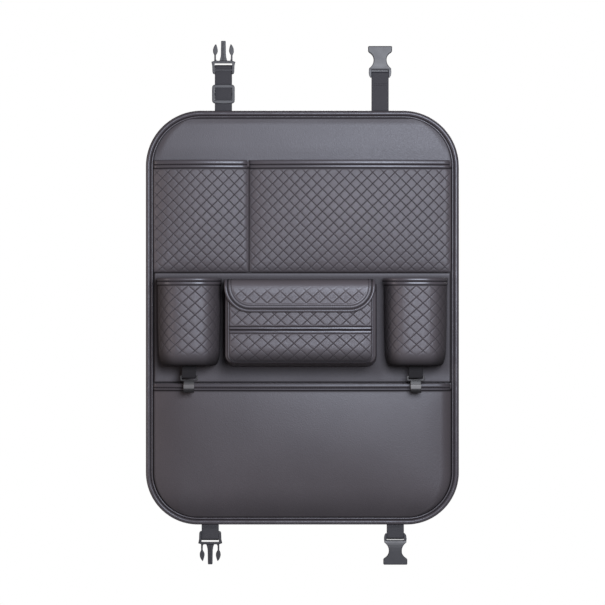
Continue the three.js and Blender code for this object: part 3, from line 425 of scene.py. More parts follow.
def quilt_stitches(threads, front, normals, s, t, margin, size):
    """Stitches in the grooves of a quilted grid, where its quilting is strong."""
    wide, tall = size
    levels = t[:, 0]
    ts = np.arange(0, levels[-1], 0.8)
    j = np.interp(ts, levels, np.arange(len(levels)))
    first, last = (np.interp(ts, levels, s[:, k]) for k in (0, -1))
    most = math.ceil(abs(s).max() / wide + levels[-1] / tall) + 1
    for lean in (1, -1):
        for k in range(-most, most + 1):
            across = wide * (k - lean * ts / tall)
            i = (across - first) / (last - first) * (s.shape[1] - 1)
            inside = (i > 0) & (i < s.shape[1] - 1)
            inside[inside] = sampled(margin[..., None], i[inside], j[inside])[:, 0] > 0.7
            if inside.sum() < 5:
                continue
            path = sampled(front, i[inside], j[inside])
            ups = sampled(normals, i[inside], j[inside])
            threads.along(path, ups, pitch=3.0, length=2.4, lift=0.05)


# Finishes

def put(tree, socket, value):
    """Set a socket to a value, or link it to the socket that is given."""
    if isinstance(value, bpy.types.NodeSocket):
        tree.links.new(value, socket)
    else:
        socket.default_value = value


def node(tree, kind, **values):
    """A node with its inputs and its other settings, by name."""
    n = tree.nodes.new(kind)
    for key, value in values.items():
        if key in n.inputs:
            put(tree, n.inputs[key], value)
        else:
            setattr(n, key, value)
    return n


def new_material(name, color, roughness):
    """A material with its node tree, its shader and the object's coordinates."""
    m = bpy.data.materials.new(name)
    m.use_nodes = True
    shader = m.node_tree.nodes["Principled BSDF"]
    shader.inputs["Base Color"].default_value = (*color, 1)
    shader.inputs["Roughness"].default_value = roughness
    place = m.node_tree.nodes.new("ShaderNodeTexCoord")
    return m, m.node_tree, shader, place.outputs["Object"]


def wire(tree, shader, values):
    """Set the shader's inputs, by name, to values or to the sockets of other nodes."""
    for name, value in values.items():
        put(tree, shader.inputs[name], value)


def math_node(tree, operation, *values, clamp=False):
    n = node(tree, "ShaderNodeMath", operation=operation, use_clamp=clamp)
    for socket, value in zip(n.inputs, values):
        put(tree, socket, value)
    return n.outputs[0]


def color_mix(tree, amount, color, other):
    """A colour turned towards another by a 0 to 1 value."""
    mix = node(tree, "ShaderNodeMix", data_type="RGBA")
    for socket, value in zip((mix.inputs[0], mix.inputs[6], mix.inputs[7]), (amount, color, other)):
        put(tree, socket, value)
    return mix.outputs[2]


def color_ramp(tree, source, stops):
    """Colour that runs through (position, colour) stops with a 0 to 1 value."""
    ramp = node(tree, "ShaderNodeValToRGB", Fac=source)
    elements = ramp.color_ramp.elements
    elements[0].position, elements[1].position = stops[0][0], stops[-1][0]
    for position, _ in stops[1:-1]:
        elements.new(position)
    for element, (_, color) in zip(elements, stops):
        element.color = (*color, 1)
    return ramp.outputs[0]


def shade(tree, source, color, spread):
    """Colour that varies between two shades of one colour with a 0 to 1 value."""
    stops = ((0.3, [c * (1 - spread) for c in color]), (0.7, [c * (1 + spread) for c in color]))
    return color_ramp(tree, source, stops)


def quilt_pattern(tree):
    """The quilting's grooves, 1 at their stitches and 0 on the diamonds, and its fine emboss."""
    cloth = node(tree, "ShaderNodeAttribute", attribute_name="cloth")
    split = node(tree, "ShaderNodeSeparateXYZ", Vector=cloth.outputs["Vector"])
    u = math_node(tree, "ADD", split.outputs["X"], split.outputs["Y"])
    v = math_node(tree, "SUBTRACT", split.outputs["X"], split.outputs["Y"])
    strength = split.outputs["Z"]

    def lines(scale):
        near_u = math_node(tree, "PINGPONG", math_node(tree, "MULTIPLY", u, scale), 0.5)
        near_v = math_node(tree, "PINGPONG", math_node(tree, "MULTIPLY", v, scale), 0.5)
        return math_node(tree, "MINIMUM", near_u, near_v)

    near = math_node(tree, "MULTIPLY_ADD", lines(1.0), -1 / GROOVE, 1.0, clamp=True)
    groove = math_node(tree, "MULTIPLY", near, math_node(tree, "MULTIPLY", near, strength))
    emboss = math_node(tree, "MULTIPLY", math_node(tree, "MULTIPLY", lines(6.0), 2.0), strength)
    return groove, emboss


def bump(tree, height, distance, strength, under=None):
    """The normal of a relief, over the relief that is under it."""
    b = node(tree, "ShaderNodeBump", Strength=strength, Distance=distance, Height=height)
    if under is not None:
        put(tree, b.inputs["Normal"], under)
    return b.outputs["Normal"]


def leather_material(name, color, roughness, grain=1.0, quilting=False):
    """Leatherette with a pebbled grain. Painted shade makes it darker, duller and less glossy in creases
    and other shaded places, as a point attribute gives, and in the quilting's grooves.
    """
    m, tree, shader, place = new_material(name, color, roughness)
    cells = node(
        tree, "ShaderNodeTexVoronoi", Vector=place, Scale=850.0, feature="SMOOTH_F1", Smoothness=0.6
    )
    fine = node(tree, "ShaderNodeTexNoise", Vector=place, Scale=420.0, Detail=3.0)
    broad = node(tree, "ShaderNodeTexNoise", Vector=place, Scale=14.0, Detail=2.0)
    # Painted shade: this point attribute says how far the colour turns dark and the sheen fades.
    painted_shade = node(tree, "ShaderNodeAttribute", attribute_name="painted_shade")
    amount = math_node(tree, "MULTIPLY", painted_shade.outputs["Fac"], 0.95, clamp=True)
    limits = {"To Min": roughness - 0.06, "To Max": roughness + 0.08}
    rough = node(tree, "ShaderNodeMapRange", Value=fine.outputs["Fac"], **limits)
    relief = bump(tree, fine.outputs["Fac"], 0.00012 * grain, 0.5)
    relief = bump(tree, cells.outputs["Distance"], 0.00022 * grain, 0.55, relief)
    if quilting:
        groove, emboss = quilt_pattern(tree)
        relief = bump(tree, emboss, 0.0003, 0.65, relief)
        depth = math_node(tree, "MULTIPLY", groove, -1.0)
        relief = bump(tree, depth, 0.0006, 0.5, relief)
        # The quilting's grooves get painted shade too.
        amount = math_node(tree, "MAXIMUM", amount, math_node(tree, "MULTIPLY", groove, 0.38))
    base = shade(tree, broad.outputs["Fac"], color, 0.05)
    # The colour of the deepest painted shade.
    dark = (*[c * 0.06 for c in color], 1)
    duller = math_node(tree, "MULTIPLY_ADD", amount, 0.4, rough.outputs["Result"], clamp=True)
    gloss = math_node(tree, "MULTIPLY_ADD", amount, -0.5, 0.5, clamp=True)
    wire(tree, shader, {
        "Base Color": color_mix(tree, amount, base, dark),
        "Roughness": duller,
        "Specular IOR Level": gloss,
        # The sheen's bluish tint is the cool light's colour, painted into the leather.
        "Specular Tint": (0.86, 0.91, 1.0, 1),
        "Normal": relief,
    })
    return m


def webbing_material(name, color, roughness, rib=1.5):
    """Ribbed webbing: short floats across, offset from row to row."""
    m, tree, shader, place = new_material(name, color, roughness)
    split = node(tree, "ShaderNodeSeparateXYZ", Vector=place)

    def wave(axis, pitch):
        turns = math_node(tree, "MULTIPLY", split.outputs[axis], 2 * math.pi / (pitch * MM))
        return math_node(tree, "SINE", turns)

    floats = math_node(tree, "MULTIPLY", wave("Z", rib * 2), wave("X", 1.9))
    ribs = math_node(tree, "MULTIPLY_ADD", wave("Z", rib), 0.35, floats)
    height = node(tree, "ShaderNodeMapRange", Value=ribs, **{"From Min": -1.3, "From Max": 1.3})
    # The colour follows the ribs' height: painted shade in their valleys and painted light on their tops.
    wire(tree, shader, {
        "Base Color": shade(tree, height.outputs["Result"], color, 0.3),
        "Specular IOR Level": 0.35,
        "Normal": bump(tree, height.outputs["Result"], 0.0004, 0.8),
    })
    return m


def cloth_material(name, color, roughness):
    """Matt non-woven cloth with a fibrous surface."""
    m, tree, shader, place = new_material(name, color, roughness)
    fibres = node(tree, "ShaderNodeTexNoise", Vector=place, Scale=900.0, Detail=4.0, Distortion=1.5)
    broad = node(tree, "ShaderNodeTexNoise", Vector=place, Scale=60.0, Detail=3.0)
    dots = node(tree, "ShaderNodeTexVoronoi", Vector=place, Scale=330.0)
    relief = bump(tree, fibres.outputs["Fac"], 0.0003, 0.6)
    wire(tree, shader, {
        "Base Color": shade(tree, broad.outputs["Fac"], color, 0.18),
        "Specular IOR Level": 0.2,
        "Normal": bump(tree, dots.outputs["Distance"], 0.0003, 0.4, relief),
    })
    return m


def plastic_material(name, color, roughness):
    """Satin moulded plastic with a faint spark-eroded texture."""
    m, tree, shader, place = new_material(name, color, roughness)
    fine = node(tree, "ShaderNodeTexNoise", Vector=place, Scale=2200.0, Detail=2.0)
    broad = node(tree, "ShaderNodeTexNoise", Vector=place, Scale=90.0, Detail=2.0)
    limits = {"To Min": roughness - 0.05, "To Max": roughness + 0.05}
    rough = node(tree, "ShaderNodeMapRange", Value=broad.outputs["Fac"], **limits)
    rounded = node(tree, "ShaderNodeBevel", Radius=0.0011, samples=8)
    wire(tree, shader, {
        "Base Color": shade(tree, broad.outputs["Fac"], color, 0.06),
        "Roughness": rough.outputs["Result"],
        "Normal": bump(tree, fine.outputs["Fac"], 0.00005, 0.35, rounded.outputs["Normal"]),
    })
    return m


def hook_material(name, color, lip_highlight, roughness):
    """Moulded plastic with a painted highlight on the hook's upturned lip, in the lower half of its
    height.
    """
    m = plastic_material(name, color, roughness)
    tree = m.node_tree
    place = node(tree, "ShaderNodeTexCoord")
    split = node(tree, "ShaderNodeSeparateXYZ", Vector=place.outputs["Generated"])
    # A paler band of colour over the lip's height: painted highlight.
    stops = ((0.22, color), (0.31, lip_highlight), (0.48, lip_highlight), (0.56, color))
    painted_highlight = color_ramp(tree, split.outputs["Z"], stops)
    tree.links.new(painted_highlight, tree.nodes["Principled BSDF"].inputs["Base Color"])
    return m


LEATHER = (0.072, 0.062, 0.067)
# The quilted leather is the same leatherette, painted paler: painted light that makes up for the
# quilting's darker shading.
QUILTED_LIGHTENED = (0.095, 0.083, 0.090)
TRIM = (0.074, 0.065, 0.072)
LINING = (0.030, 0.030, 0.033)
WEBBING = (0.036, 0.035, 0.041)
# The hooks' webbing is darkened as painted shade of the cups above it.
HOOK_WEBBING_SHADED = (0.011, 0.010, 0.012)
PLASTIC = (0.034, 0.034, 0.040)
# The hooks' plastic is darkened as painted shade of the cups above it, and its lip colour is a painted
# highlight.
HOOK_SHADED, HOOK_LIP_HIGHLIGHT = (0.013, 0.012, 0.013), (0.105, 0.10, 0.10)
THREAD = (0.030, 0.027, 0.032)
MATERIALS = {
    "leather": leather_material("leather", LEATHER, 0.44),
    "quilted_leather": leather_material("quilted_leather", QUILTED_LIGHTENED, 0.38, quilting=True),
    "trim_leather": leather_material("trim_leather", TRIM, 0.31, grain=0.5),
    "lining": cloth_material("lining", LINING, 0.95),
    "webbing": webbing_material("webbing", WEBBING, 0.6),
    "thread": webbing_material("sewing_thread", THREAD, 0.6, rib=0.6),
    "plastic": plastic_material("plastic", PLASTIC, 0.41),
}
# Webbing and plastic for the hooks, darkened as painted shade.
hook_webbing = webbing_material("hook_webbing", HOOK_WEBBING_SHADED, 0.8)
hook_plastic = hook_material("hook_plastic", HOOK_SHADED, HOOK_LIP_HIGHLIGHT, 0.36)


# Panel

def half_width(z, inset):
    """Half the panel's width at a height, inside an inset."""
    z = np.asarray(z, float)
    drop_low = np.clip((BOTTOM_R - PANEL_H / 2) - z, 0, BOTTOM_R - inset)
    drop_high = np.clip(z - (PANEL_H / 2 - TOP_R), 0, TOP_R - inset)
    low = PANEL_W / 2 - BOTTOM_R + np.sqrt((BOTTOM_R - inset) ** 2 - drop_low**2)
    high = PANEL_W / 2 - TOP_R + np.sqrt((TOP_R - inset) ** 2 - drop_high**2)
    return np.minimum(low, high)


def rows_over(low, high, count, round_top):
    """Heights from low to high, closer together where the outline curves in."""
    t = np.linspace(0, 1, count)
    a = np.sin(t * math.pi / 2)
    b = 1 - np.cos(t * math.pi / 2)
    t = t + (b - t) * (1 - t) + round_top * (a - t) * t
    return low + (high - low) * t


def make_cover():
    """The panel's leatherette face, a little puffed above the upper pockets."""
    top = PANEL_H / 2 - COVER_INSET
    zs = rows_over(-top, top, 190, True)
    half = half_width(zs, COVER_INSET)
    x, z = panel_grid(half, zs, np.linspace(-1, 1, 150))
    to_edge = np.minimum(half[:, None] - abs(x), top - z)
    puff = smooth((to_edge - 2) / 12) * smooth((z - UPPER_TOP + 6) / 30)
    wave = 0.2 * np.sin(x / 31 + 1.3) * np.sin(z / 17)
    forward = COVER_FRONT - 0.4 + puff * (1.3 + wave)
    front = np.stack([x, forward, z], axis=-1)
    back = coarse(front, 32, 26).copy()
    back[..., 1] = COVER_FRONT - SHEET
    points, faces = shell_mesh(front, back)
    # Painted shade along the binding's inner edge.
    painted_shade = bell(to_edge - BINDING_W + COVER_INSET, 1.4)
    replaces = ("front_cover", "stiffener_board")
    piece = make("cover_skin", points, faces, "leather", replaces, painted_shade=painted_shade)


def outline_path(inset, spacing):
    """The panel's outline at an inset, with its outward normals."""
    w, h = PANEL_W / 2, PANEL_H / 2
    corners = (
        (w - TOP_R, h - TOP_R, TOP_R, 0),
        (TOP_R - w, h - TOP_R, TOP_R, 1),
        (BOTTOM_R - w, BOTTOM_R - h, BOTTOM_R, 2),
        (w - BOTTOM_R, BOTTOM_R - h, BOTTOM_R, 3),
    )
    places, normals = [], []
    for k, (x, z, r, quarter) in enumerate(corners):
        steps = int(r * math.pi / 2 / spacing)
        for s in range(steps + 1):
            angle = (quarter + s / steps) * math.pi / 2
            n = np.array([math.cos(angle), 0, math.sin(angle)])
            places.append(np.array([x, 0, z]) + n * (r - inset))
            normals.append(n)
        nx, nz, nr, _ = corners[(k + 1) % 4]
        nxt = np.array([nx, 0, nz]) + normals[-1] * (nr - inset)
        run = nxt - places[-1]
        pieces = int(np.linalg.norm(run) / spacing)
        for s in range(1, pieces):
            places.append(places[-1] + run / pieces)
            normals.append(n)
    return np.array(places), np.array(normals)


# Binding section: distance in from the panel's edge, and forward
BINDING_SECTION = (
    (1.6, 0.0), (BINDING_W, 0.0), (BINDING_W + 0.2, 0.7), (BINDING_W - 0.4, 1.4), (4.2, 1.5),
    (4.2, 5.4), (BINDING_W - 0.1, 5.6), (BINDING_W + 0.2, 6.6), (BINDING_W - 0.5, 7.9),
    (BINDING_W - 1.5, 8.3), (BINDING_W - 2.5, 7.8), (BINDING_W - 3.3, 6.3), (BINDING_W - 4.2, 7.7),
    (BINDING_W - 5.3, 8.7), (4.0, 9.0), (2.6, 8.7), (1.2, 7.6), (0.3, 6.0), (0.0, 4.4), (0.3, 2.0),
    (0.8, 0.7),
)


def make_binding(threads):
    """The folded binding round the panel's edge, stitched through to the back."""
    path, normals = outline_path(0, BINDING_STEP)
    section = rounded_section(BINDING_SECTION, 0.55)
    run = np.arange(len(path)) * BINDING_STEP
    ripple = 0.10 * np.sin(run / 5.3) * np.sin(run / 37) + 0.05 * np.sin(run / 2.9 + 1)
    crown = smooth((section[:, 1] - 6.5) / 2)
    forward = section[None, :, 1] + crown[None] * ripple[:, None]
    rings = path[:, None] - normals[:, None] * section[None, :, :1]
    rings[..., 1] = forward
    points, faces = sweep(rings, closed=True)
    # Painted shade in the binding's stitched groove and along its inner edge, on its front half.
    groove = bell(section[:, 0] - BINDING_W + 3.3, 0.6)
    inner = bell(section[:, 0] - BINDING_W, 0.6) * (section[:, 1] < 7.6)
    painted_shade = np.tile(np.maximum(groove, inner) * (section[:, 1] > 5), len(path))
    make("edge_binding_leather", points, faces, "trim_leather", ("edge_binding",), painted_shade=painted_shade)
    seam, _ = outline_path(BINDING_W - 3.4, 1.5)
    seam[:, 1] = 6.6
    closed = np.vstack([seam, seam[:1]])
    threads.along(closed, facing_forward(len(closed)), pitch=3.6, length=2.6, lift=0.1)
    rear = seam.copy()
    rear[:, 1] = 0.0
    threads.along(rear, -facing_forward(len(rear)), pitch=3.6, length=2.6, lift=0.12)


def make_lining():
    """The cloth on the panel's back."""
    inset = BINDING_W - 1.5
    top = PANEL_H / 2 - inset
    zs = rows_over(-top, top, 120, True)
    half = half_width(zs, inset)
    x, z = panel_grid(half, zs, np.linspace(-1, 1, 100))
    to_edge = np.minimum(half[:, None] - abs(x), top - abs(z))
    dent = 0.5 - 0.35 * smooth(to_edge / 12)
    dent = dent + 0.08 * np.sin(x / 23) * np.sin(z / 29 + 0.6)
    back = np.stack([x, dent, z], axis=-1)
    front = coarse(back, 30, 25).copy()
    front[..., 1] = SHEET
    points, faces = shell_mesh(front, back)
    piece = make("lining_cloth", points, faces, "lining", ("back_lining",))


# Pockets

def pocket_forward(u, v, bulge, rise):
    """A pocket's wall, u across and v up: it bulges towards its mouth and may rise to the right."""
    side = 1 - (2 * u - 1) ** 2
    climb = 1 - (1 - v) ** 2.4
    return POCKET_BACK + 1.7 * smooth(v) + bulge * side * climb + rise * u**4 * climb


def rolled(s, t, height, reach):
    """How far a wall stands forward as it rolls away from its seams, soonest at the right one."""
    near = np.minimum.reduce([s - s[:, :1], 3 * (s[:, -1:] - s), t])
    return height * (1 - (1 - np.clip(near / reach, 0, 1)) ** 2)


def settled(grid, name, cap):
    """The grid after a short cloth simulation under pressure, with its edges held.

    No point moves by more than cap.
    """
    shape = grid.shape[:2]
    held = np.ones(shape, bool)
    held[1:-1, 1:-1] = False
    co = grid.reshape(-1, 3) * [MM, -MM, MM]
    mesh = bpy.data.meshes.new(name)
    mesh.from_pydata(co.tolist(), [], quads(np.arange(held.size).reshape(shape)).tolist())
    trial = added(name, mesh)
    group = trial.vertex_groups.new(name="held")
    group.add(np.flatnonzero(held.ravel()).tolist(), 1.0, "REPLACE")
    cloth = trial.modifiers.new("Cloth", "CLOTH")
    s = cloth.settings
    s.quality = 8
    s.mass = 0.35
    s.tension_stiffness = s.compression_stiffness = 40
    s.shear_stiffness = 20
    s.bending_stiffness = 12
    s.vertex_group_mass = "held"
    s.effector_weights.gravity = 0
    s.use_pressure = True
    s.uniform_pressure_force = 3.0
    scene = bpy.context.scene
    for f in range(1, TRIAL_FRAMES + 1):
        scene.frame_set(f)
    done = trial.evaluated_get(bpy.context.evaluated_depsgraph_get())
    out = np.zeros(grid.size)
    done.data.vertices.foreach_get("co", out)
    scene.frame_set(1)
    bpy.data.objects.remove(trial)
    bpy.data.meshes.remove(mesh)
    moved = out.reshape(grid.shape) / [MM, -MM, MM] - grid
    far = np.linalg.norm(moved, axis=-1, keepdims=True)
    return grid + moved * np.minimum(1, cap / np.maximum(far, 1e-6)) * (far > 0)


def hem_section(height, band):
    """A folded hem: a rolled band, a stitched groove and a thin ridge below it."""
    return np.array([
        (-0.3, 1.5 - height), (-0.3, -1.5), (1.5, -1.5), (1.5, -height + 0.2),
        (2.6, -height), (3.1, -height + 0.5), (3.4, -height + 1.6),
        (3.3, -band - 1.7), (2.9, -band - 1.0), (2.0, -band - 0.4), (2.9, 0.4 - band),
        (3.6, 1.1 - band), (3.75, -band * 0.6), (3.5, -1.3), (2.7, -0.35), (1.2, 0.0),
        (-0.4, -0.1), (-1.3, -0.8), (-1.6, -2.0), (-1.5, 1.5 - height),
    ])


def make_hem(name, feet, normals, height, band, threads, replaces, dim=0.0):
    """A stitched hem along the top of a wall, with painted shade in its groove and along its foot. dim is
    painted shade over all of it.
    """
    section = rounded_section(hem_section(height, band), 0.35)
    points, faces = sweep(section_rings(feet, normals, section))
    seam = band + 0.4
    # Painted shade in the stitched groove and along the hem's foot.
    groove = bell(section[:, 1] + seam, 0.65)
    foot = smooth(0.9 - height - section[:, 1])
    painted_shade = np.maximum(np.maximum(groove, foot) * (section[:, 0] > 1.0), dim)
    make(name, points, faces, "trim_leather", (replaces,), painted_shade=np.tile(painted_shade, len(feet)))
    line = feet + normals * 2.15
    line[:, 2] -= seam
    threads.along(line, normals, pitch=3.4, length=2.4, lift=0.05)


def with_top(front, inner, hem):
    """Both faces of a pocket's wall, carried on plain behind its hem."""
    grids = []
    for grid in (front, inner):
        top = np.repeat(grid[-1:], 2, axis=0)
        top[:, :, 2] += np.array([4.0, hem - 2.2])[:, None]
        grids.append(np.vstack([grid, top]))
    return grids


def foot_shade(t, reach, most):
    """Shade that deepens over the last stretch of a wall towards its foot."""
    return most * smooth(1 - t / reach)


def wall_painted_shade(s, t, top=1.8, sides=0.0):
    """Painted shade where a wall meets the hem above it and the seam below it."""
    painted_shade = np.maximum(bell(t[-1:] - t, top), 0.8 * bell(t, 1.4))
    if sides:
        side = np.minimum(s - s[:, :1], s[:, -1:] - s)
        painted_shade = np.maximum(painted_shade, 0.8 * bell(side, sides))
    return painted_shade


def make_upper_pocket(side, left, right, threads, quilt_threads, bulge, rise):
    """A quilted pocket between two x, held by its sides and its bottom, with a hem at its mouth."""
    columns, rows = int((right - left) / TRIAL_STEP), 26
    u, v = np.linspace(0, 1, columns + 1)[None], np.linspace(0, 1, rows + 1)[:, None]
    x = left + (right - left) * u + 0 * v
    z = UPPER_BOTTOM + (UPPER_TOP - HEM - UPPER_BOTTOM) * v + 0 * u
    forward = pocket_forward(u, v, bulge, rise) + rolled(x, z - UPPER_BOTTOM, 2.8, 20.0)
    base = settled(np.stack([x, forward, z], axis=-1), f"{side}_trial", 2.0)
    inner = refined(base, 150, int((right - left) / 0.98))
    s, t = flat_lengths(inner)
    margin = smooth(edge_distance(s, t) / 3.5)
    front, cloth = quilted(inner, s, t, margin, QUILT, quilt_threads)
    wall, lining = with_top(front, inner, HEM)
    points, faces = shell_mesh(wall, coarse(lining, 33, columns + 1))
    node_name = f"upper_{side}_pocket"
    # Painted shade at the wall's edges and towards its foot.
    painted_shade = np.maximum(wall_painted_shade(s, t, sides=1.4), foot_shade(t, 14, 0.3))
    make_quilt(f"upper_{side}_quilt", points, faces, node_name, cloth, painted_shade)
    feet = inner[-1, ::4].copy()
    feet[:, 2] = UPPER_TOP
    forward = facing_forward(len(feet))
    make_hem(f"upper_{side}_hem", feet, forward, HEM, HEM_BAND, threads, f"{node_name}_hem")


def make_quilt(name, points, faces, replaces, cloth, painted_shade, body="panel"):
    """A quilted wall that stands for a node."""
    piece = make(name, points, faces, "quilted_leather", (replaces,), body, cloth, painted_shade)


# What stands on the middle panel: its middle, half its width and its lowest height
STANDING = (
    (BOX_X, BOX_BASE_W / 2, BOX_BASE_Z),
    (-CUP_X, CUP_W / 2, CUP_BOTTOM),
    (CUP_X, CUP_W / 2, CUP_BOTTOM),
)


def contact_shade(x, z):
    """Shade on the panel close to the tissue box and the cups that stand on it."""
    far = []
    for middle, half, low in STANDING:
        beside = np.maximum(abs(x - middle) - half, 0) * (1 + 2 * (abs(x) > CUP_X))
        below = np.maximum(np.maximum(low - z, 4 * (z - CUP_TOP)), 0)
        far.append(np.hypot(beside, below))
    return 0.4 * bell(np.minimum.reduce(far), 17)


def make_middle_panel():
    """The plain strip between the upper pockets and the lower one."""
    zs = np.linspace(LOWER_TOP + 0.6, UPPER_BOTTOM - 0.6, 70)
    half = np.full(len(zs), POCKET_HALF)
    x, z = panel_grid(half, zs, np.linspace(-1, 1, 160))
    to_edge = np.minimum(POCKET_HALF - abs(x), np.minimum(z - zs[0], zs[-1] - z))
    wave = 0.15 * np.sin(x / 19 + 0.5) * np.sin(z / 13 + 1)
    forward = POCKET_BACK + SHEET + smooth(to_edge / 5) * (0.25 + wave)
    front = np.stack([x, forward, z], axis=-1)
    back = coarse(front, 15, 33).copy()
    back[..., 1] = COVER_FRONT + 0.2
    points, faces = shell_mesh(front, back)
    # Painted shade along its edges and beside the box and the cups.
    painted_shade = np.maximum(bell(to_edge, 0.9), contact_shade(x, z))
    piece = make("middle_skin", points, faces, "leather", ("middle_panel",), painted_shade=painted_shade)


def make_lower_pocket(threads):
    """The wide plain pocket with round lower corners."""
    rows, columns = 30, 72
    top = LOWER_TOP - LOWER_HEM
    zs = rows_over(LOWER_BOTTOM, top, rows + 1, False)
    half = np.minimum(POCKET_HALF, half_width(zs, POCKET_INSET))
    u = np.linspace(0, 1, columns + 1)
    x, z = panel_grid(half, zs, 2 * u - 1)
    v = (zs - LOWER_BOTTOM) / (top - LOWER_BOTTOM)
    forward = pocket_forward(u[None], v[:, None], 12.5, 0) + rolled(x, z - LOWER_BOTTOM, 7.0, 46.0)
    base = settled(np.stack([x, forward, z], axis=-1), "lower_trial", 3.0)
    inner = refined(base, 140, 260)
    front = inner + grid_normals(inner) * SHEET
    wall, lining = with_top(front, inner, LOWER_HEM)
    points, faces = shell_mesh(wall, coarse(lining, 30, 53))
    s, t = flat_lengths(inner)
    # Painted shade at its edges and towards its foot.
    painted_shade = np.maximum(wall_painted_shade(s, t, sides=2.0), foot_shade(t, 48, 0.4))
    piece = make("lower_pocket_skin", points, faces, "leather", ("lower_pocket",), painted_shade=painted_shade)
    feet = inner[-1, ::3].copy()
    feet[:, 2] = LOWER_TOP
    forward = facing_forward(len(feet))
    # The lower hem gets painted shade over all of it.
    make_hem("lower_hem", feet, forward, LOWER_HEM, HEM_BAND, threads, "lower_pocket_hem", 0.22)


# Cup pockets

def cup_plan(inset, count):
    """Plan of a cup from the panel round its front and back, with outward normals."""
    half = CUP_W / 2 - inset
    depth = CUP_DEPTH - inset + CUP_BOW
    angle = np.linspace(math.pi, 0, 721)
    square = 2 / CUP_SQUARENESS
    x = half * np.sign(np.cos(angle)) * abs(np.cos(angle)) ** square
    forward = CUP_BACK + depth * np.sin(angle) ** square
    p = np.stack([x, forward], axis=1)
    reach = reach_along(p)
    plan = at_reach(np.linspace(0, reach[-1], count), reach, p)
    return plan, line_normals(plan)


def make_cup(side, centre, threads, quilt_threads):
    """A cup's quilted wall, bowed between its foot and its hem, with its foot tucked in."""
    plan, out = cup_plan(PRESSED + 1.2, 206)
    quilt_top = CUP_TOP - CUP_HEM
    foot = CUP_BOTTOM + 1.0
    curl = np.linspace(0, math.pi / 2, 20)
    straight = np.linspace(foot + CUP_CURL, quilt_top, 102)[1:]
    zs = np.concatenate([foot + CUP_CURL * (1 - np.cos(curl)), straight])
    low = np.clip((foot + CUP_CURL - zs) / CUP_CURL, 0, 1)
    tuck = CUP_TUCK * (1 - np.sqrt(np.clip(1 - low**2, 0, 1)))
    up = np.clip((zs - foot) / (quilt_top - foot), 0, 1)
    bow = 0.6 * np.sin(up * math.pi) - 1.8 * (1 - up)
    offset = bow[:, None] - tuck[:, None] * (0.45 + 0.55 * out[None, :, 1])
    inner = np.zeros((len(zs), len(plan), 3))
    inner[..., 0] = centre + plan[None, :, 0] + out[None, :, 0] * offset
    inner[..., 1] = np.maximum(CUP_BACK, plan[None, :, 1] + out[None, :, 1] * offset)
    inner[..., 2] = zs[:, None]
    s, t = flat_lengths(inner)
    middle = len(zs) // 2
    s = np.repeat(s[middle : middle + 1], len(zs), axis=0)
    margin = smooth(edge_distance(s, t) / 3.0) * smooth((zs - foot - 10) / 9)[:, None]
    front, cloth = quilted(inner, s, t, margin, SMALL_QUILT, quilt_threads)
    front[..., 1] = np.maximum(front[..., 1], CUP_BACK - 0.2)
    wall, lining = with_top(front, inner, CUP_HEM)
    points, faces = shell_mesh(wall, coarse(lining, 32, 42))
    # Painted shade on the cup's flanks and deepening towards its foot, over the shade at its hem and seam.
    flank = 1 - 0.33 * smooth((abs(out[None, :, 0]) - 0.3) / 0.5)
    painted_shade = np.maximum(wall_painted_shade(s, t, 1.4), 1 - flank * (1 - foot_shade(t, 32, 0.85)))
    make_quilt(f"{side}_cup_quilt", points, faces, f"{side}_cup_wall", cloth, painted_shade)
    feet = inner[-1, ::2].copy()
    feet[:, 2] = CUP_TOP
    normals = np.stack([out[::2, 0], out[::2, 1], np.zeros(len(feet))], axis=1)
    make_hem(f"{side}_cup_rim", feet, normals, CUP_HEM, CUP_HEM_BAND, threads, f"{side}_cup_hem")
    make_cup_base(side, centre, plan[::3], out[::3])


# The cup's floor: how far in its rings lie, and how high over the cup's lowest height
CUP_FLOOR = ((7.0, 4.0), (7.0, 1.8), (8.0, 0.6), (10.0, 0.0))


def make_cup_base(side, centre, plan, out):
    """The cup's floor: a disc of leatherette that closes the tucked-in foot."""
    rings = np.zeros((len(CUP_FLOOR), len(plan), 3))
    for ring, (inset, height) in zip(rings, CUP_FLOOR):
        ring[:, 0] = centre + plan[:, 0] - out[:, 0] * inset
        ring[:, 1] = np.maximum(CUP_BACK, plan[:, 1] - out[:, 1] * inset)
        ring[:, 2] = CUP_BOTTOM + height
    points, faces = sweep(rings)
    # Painted shade over the whole floor.
    shaded = np.full(len(points), 0.85)
    make(f"{side}_cup_floor", points, faces, "trim_leather", (f"{side}_cup_base",), painted_shade=shaded)


# Tissue box

def u_path(half, bottom, top, corner):
    """Sides and bottom of the box seen from the front, from one top to the other."""
    spacing = 2.5
    foot, end = bottom + corner, half - corner
    left = [(-half, z) for z in np.linspace(top, foot, int((top - foot) / spacing))]
    for a in np.linspace(0, math.pi / 2, 9)[1:]:
        left.append((-end - corner * math.cos(a), foot - corner * math.sin(a)))
    floor = [(x, bottom) for x in np.linspace(-end, end, int(2 * end / spacing))[1:-1]]
    return np.array(left + floor + [(-x, z) for x, z in reversed(left)])


def face_path():
    """The edge of the box's front."""
    return u_path(BOX_FRONT_W / 2, BOX_FRONT_Z, BOX_FRONT_TOP, BOX_FRONT_CORNER)


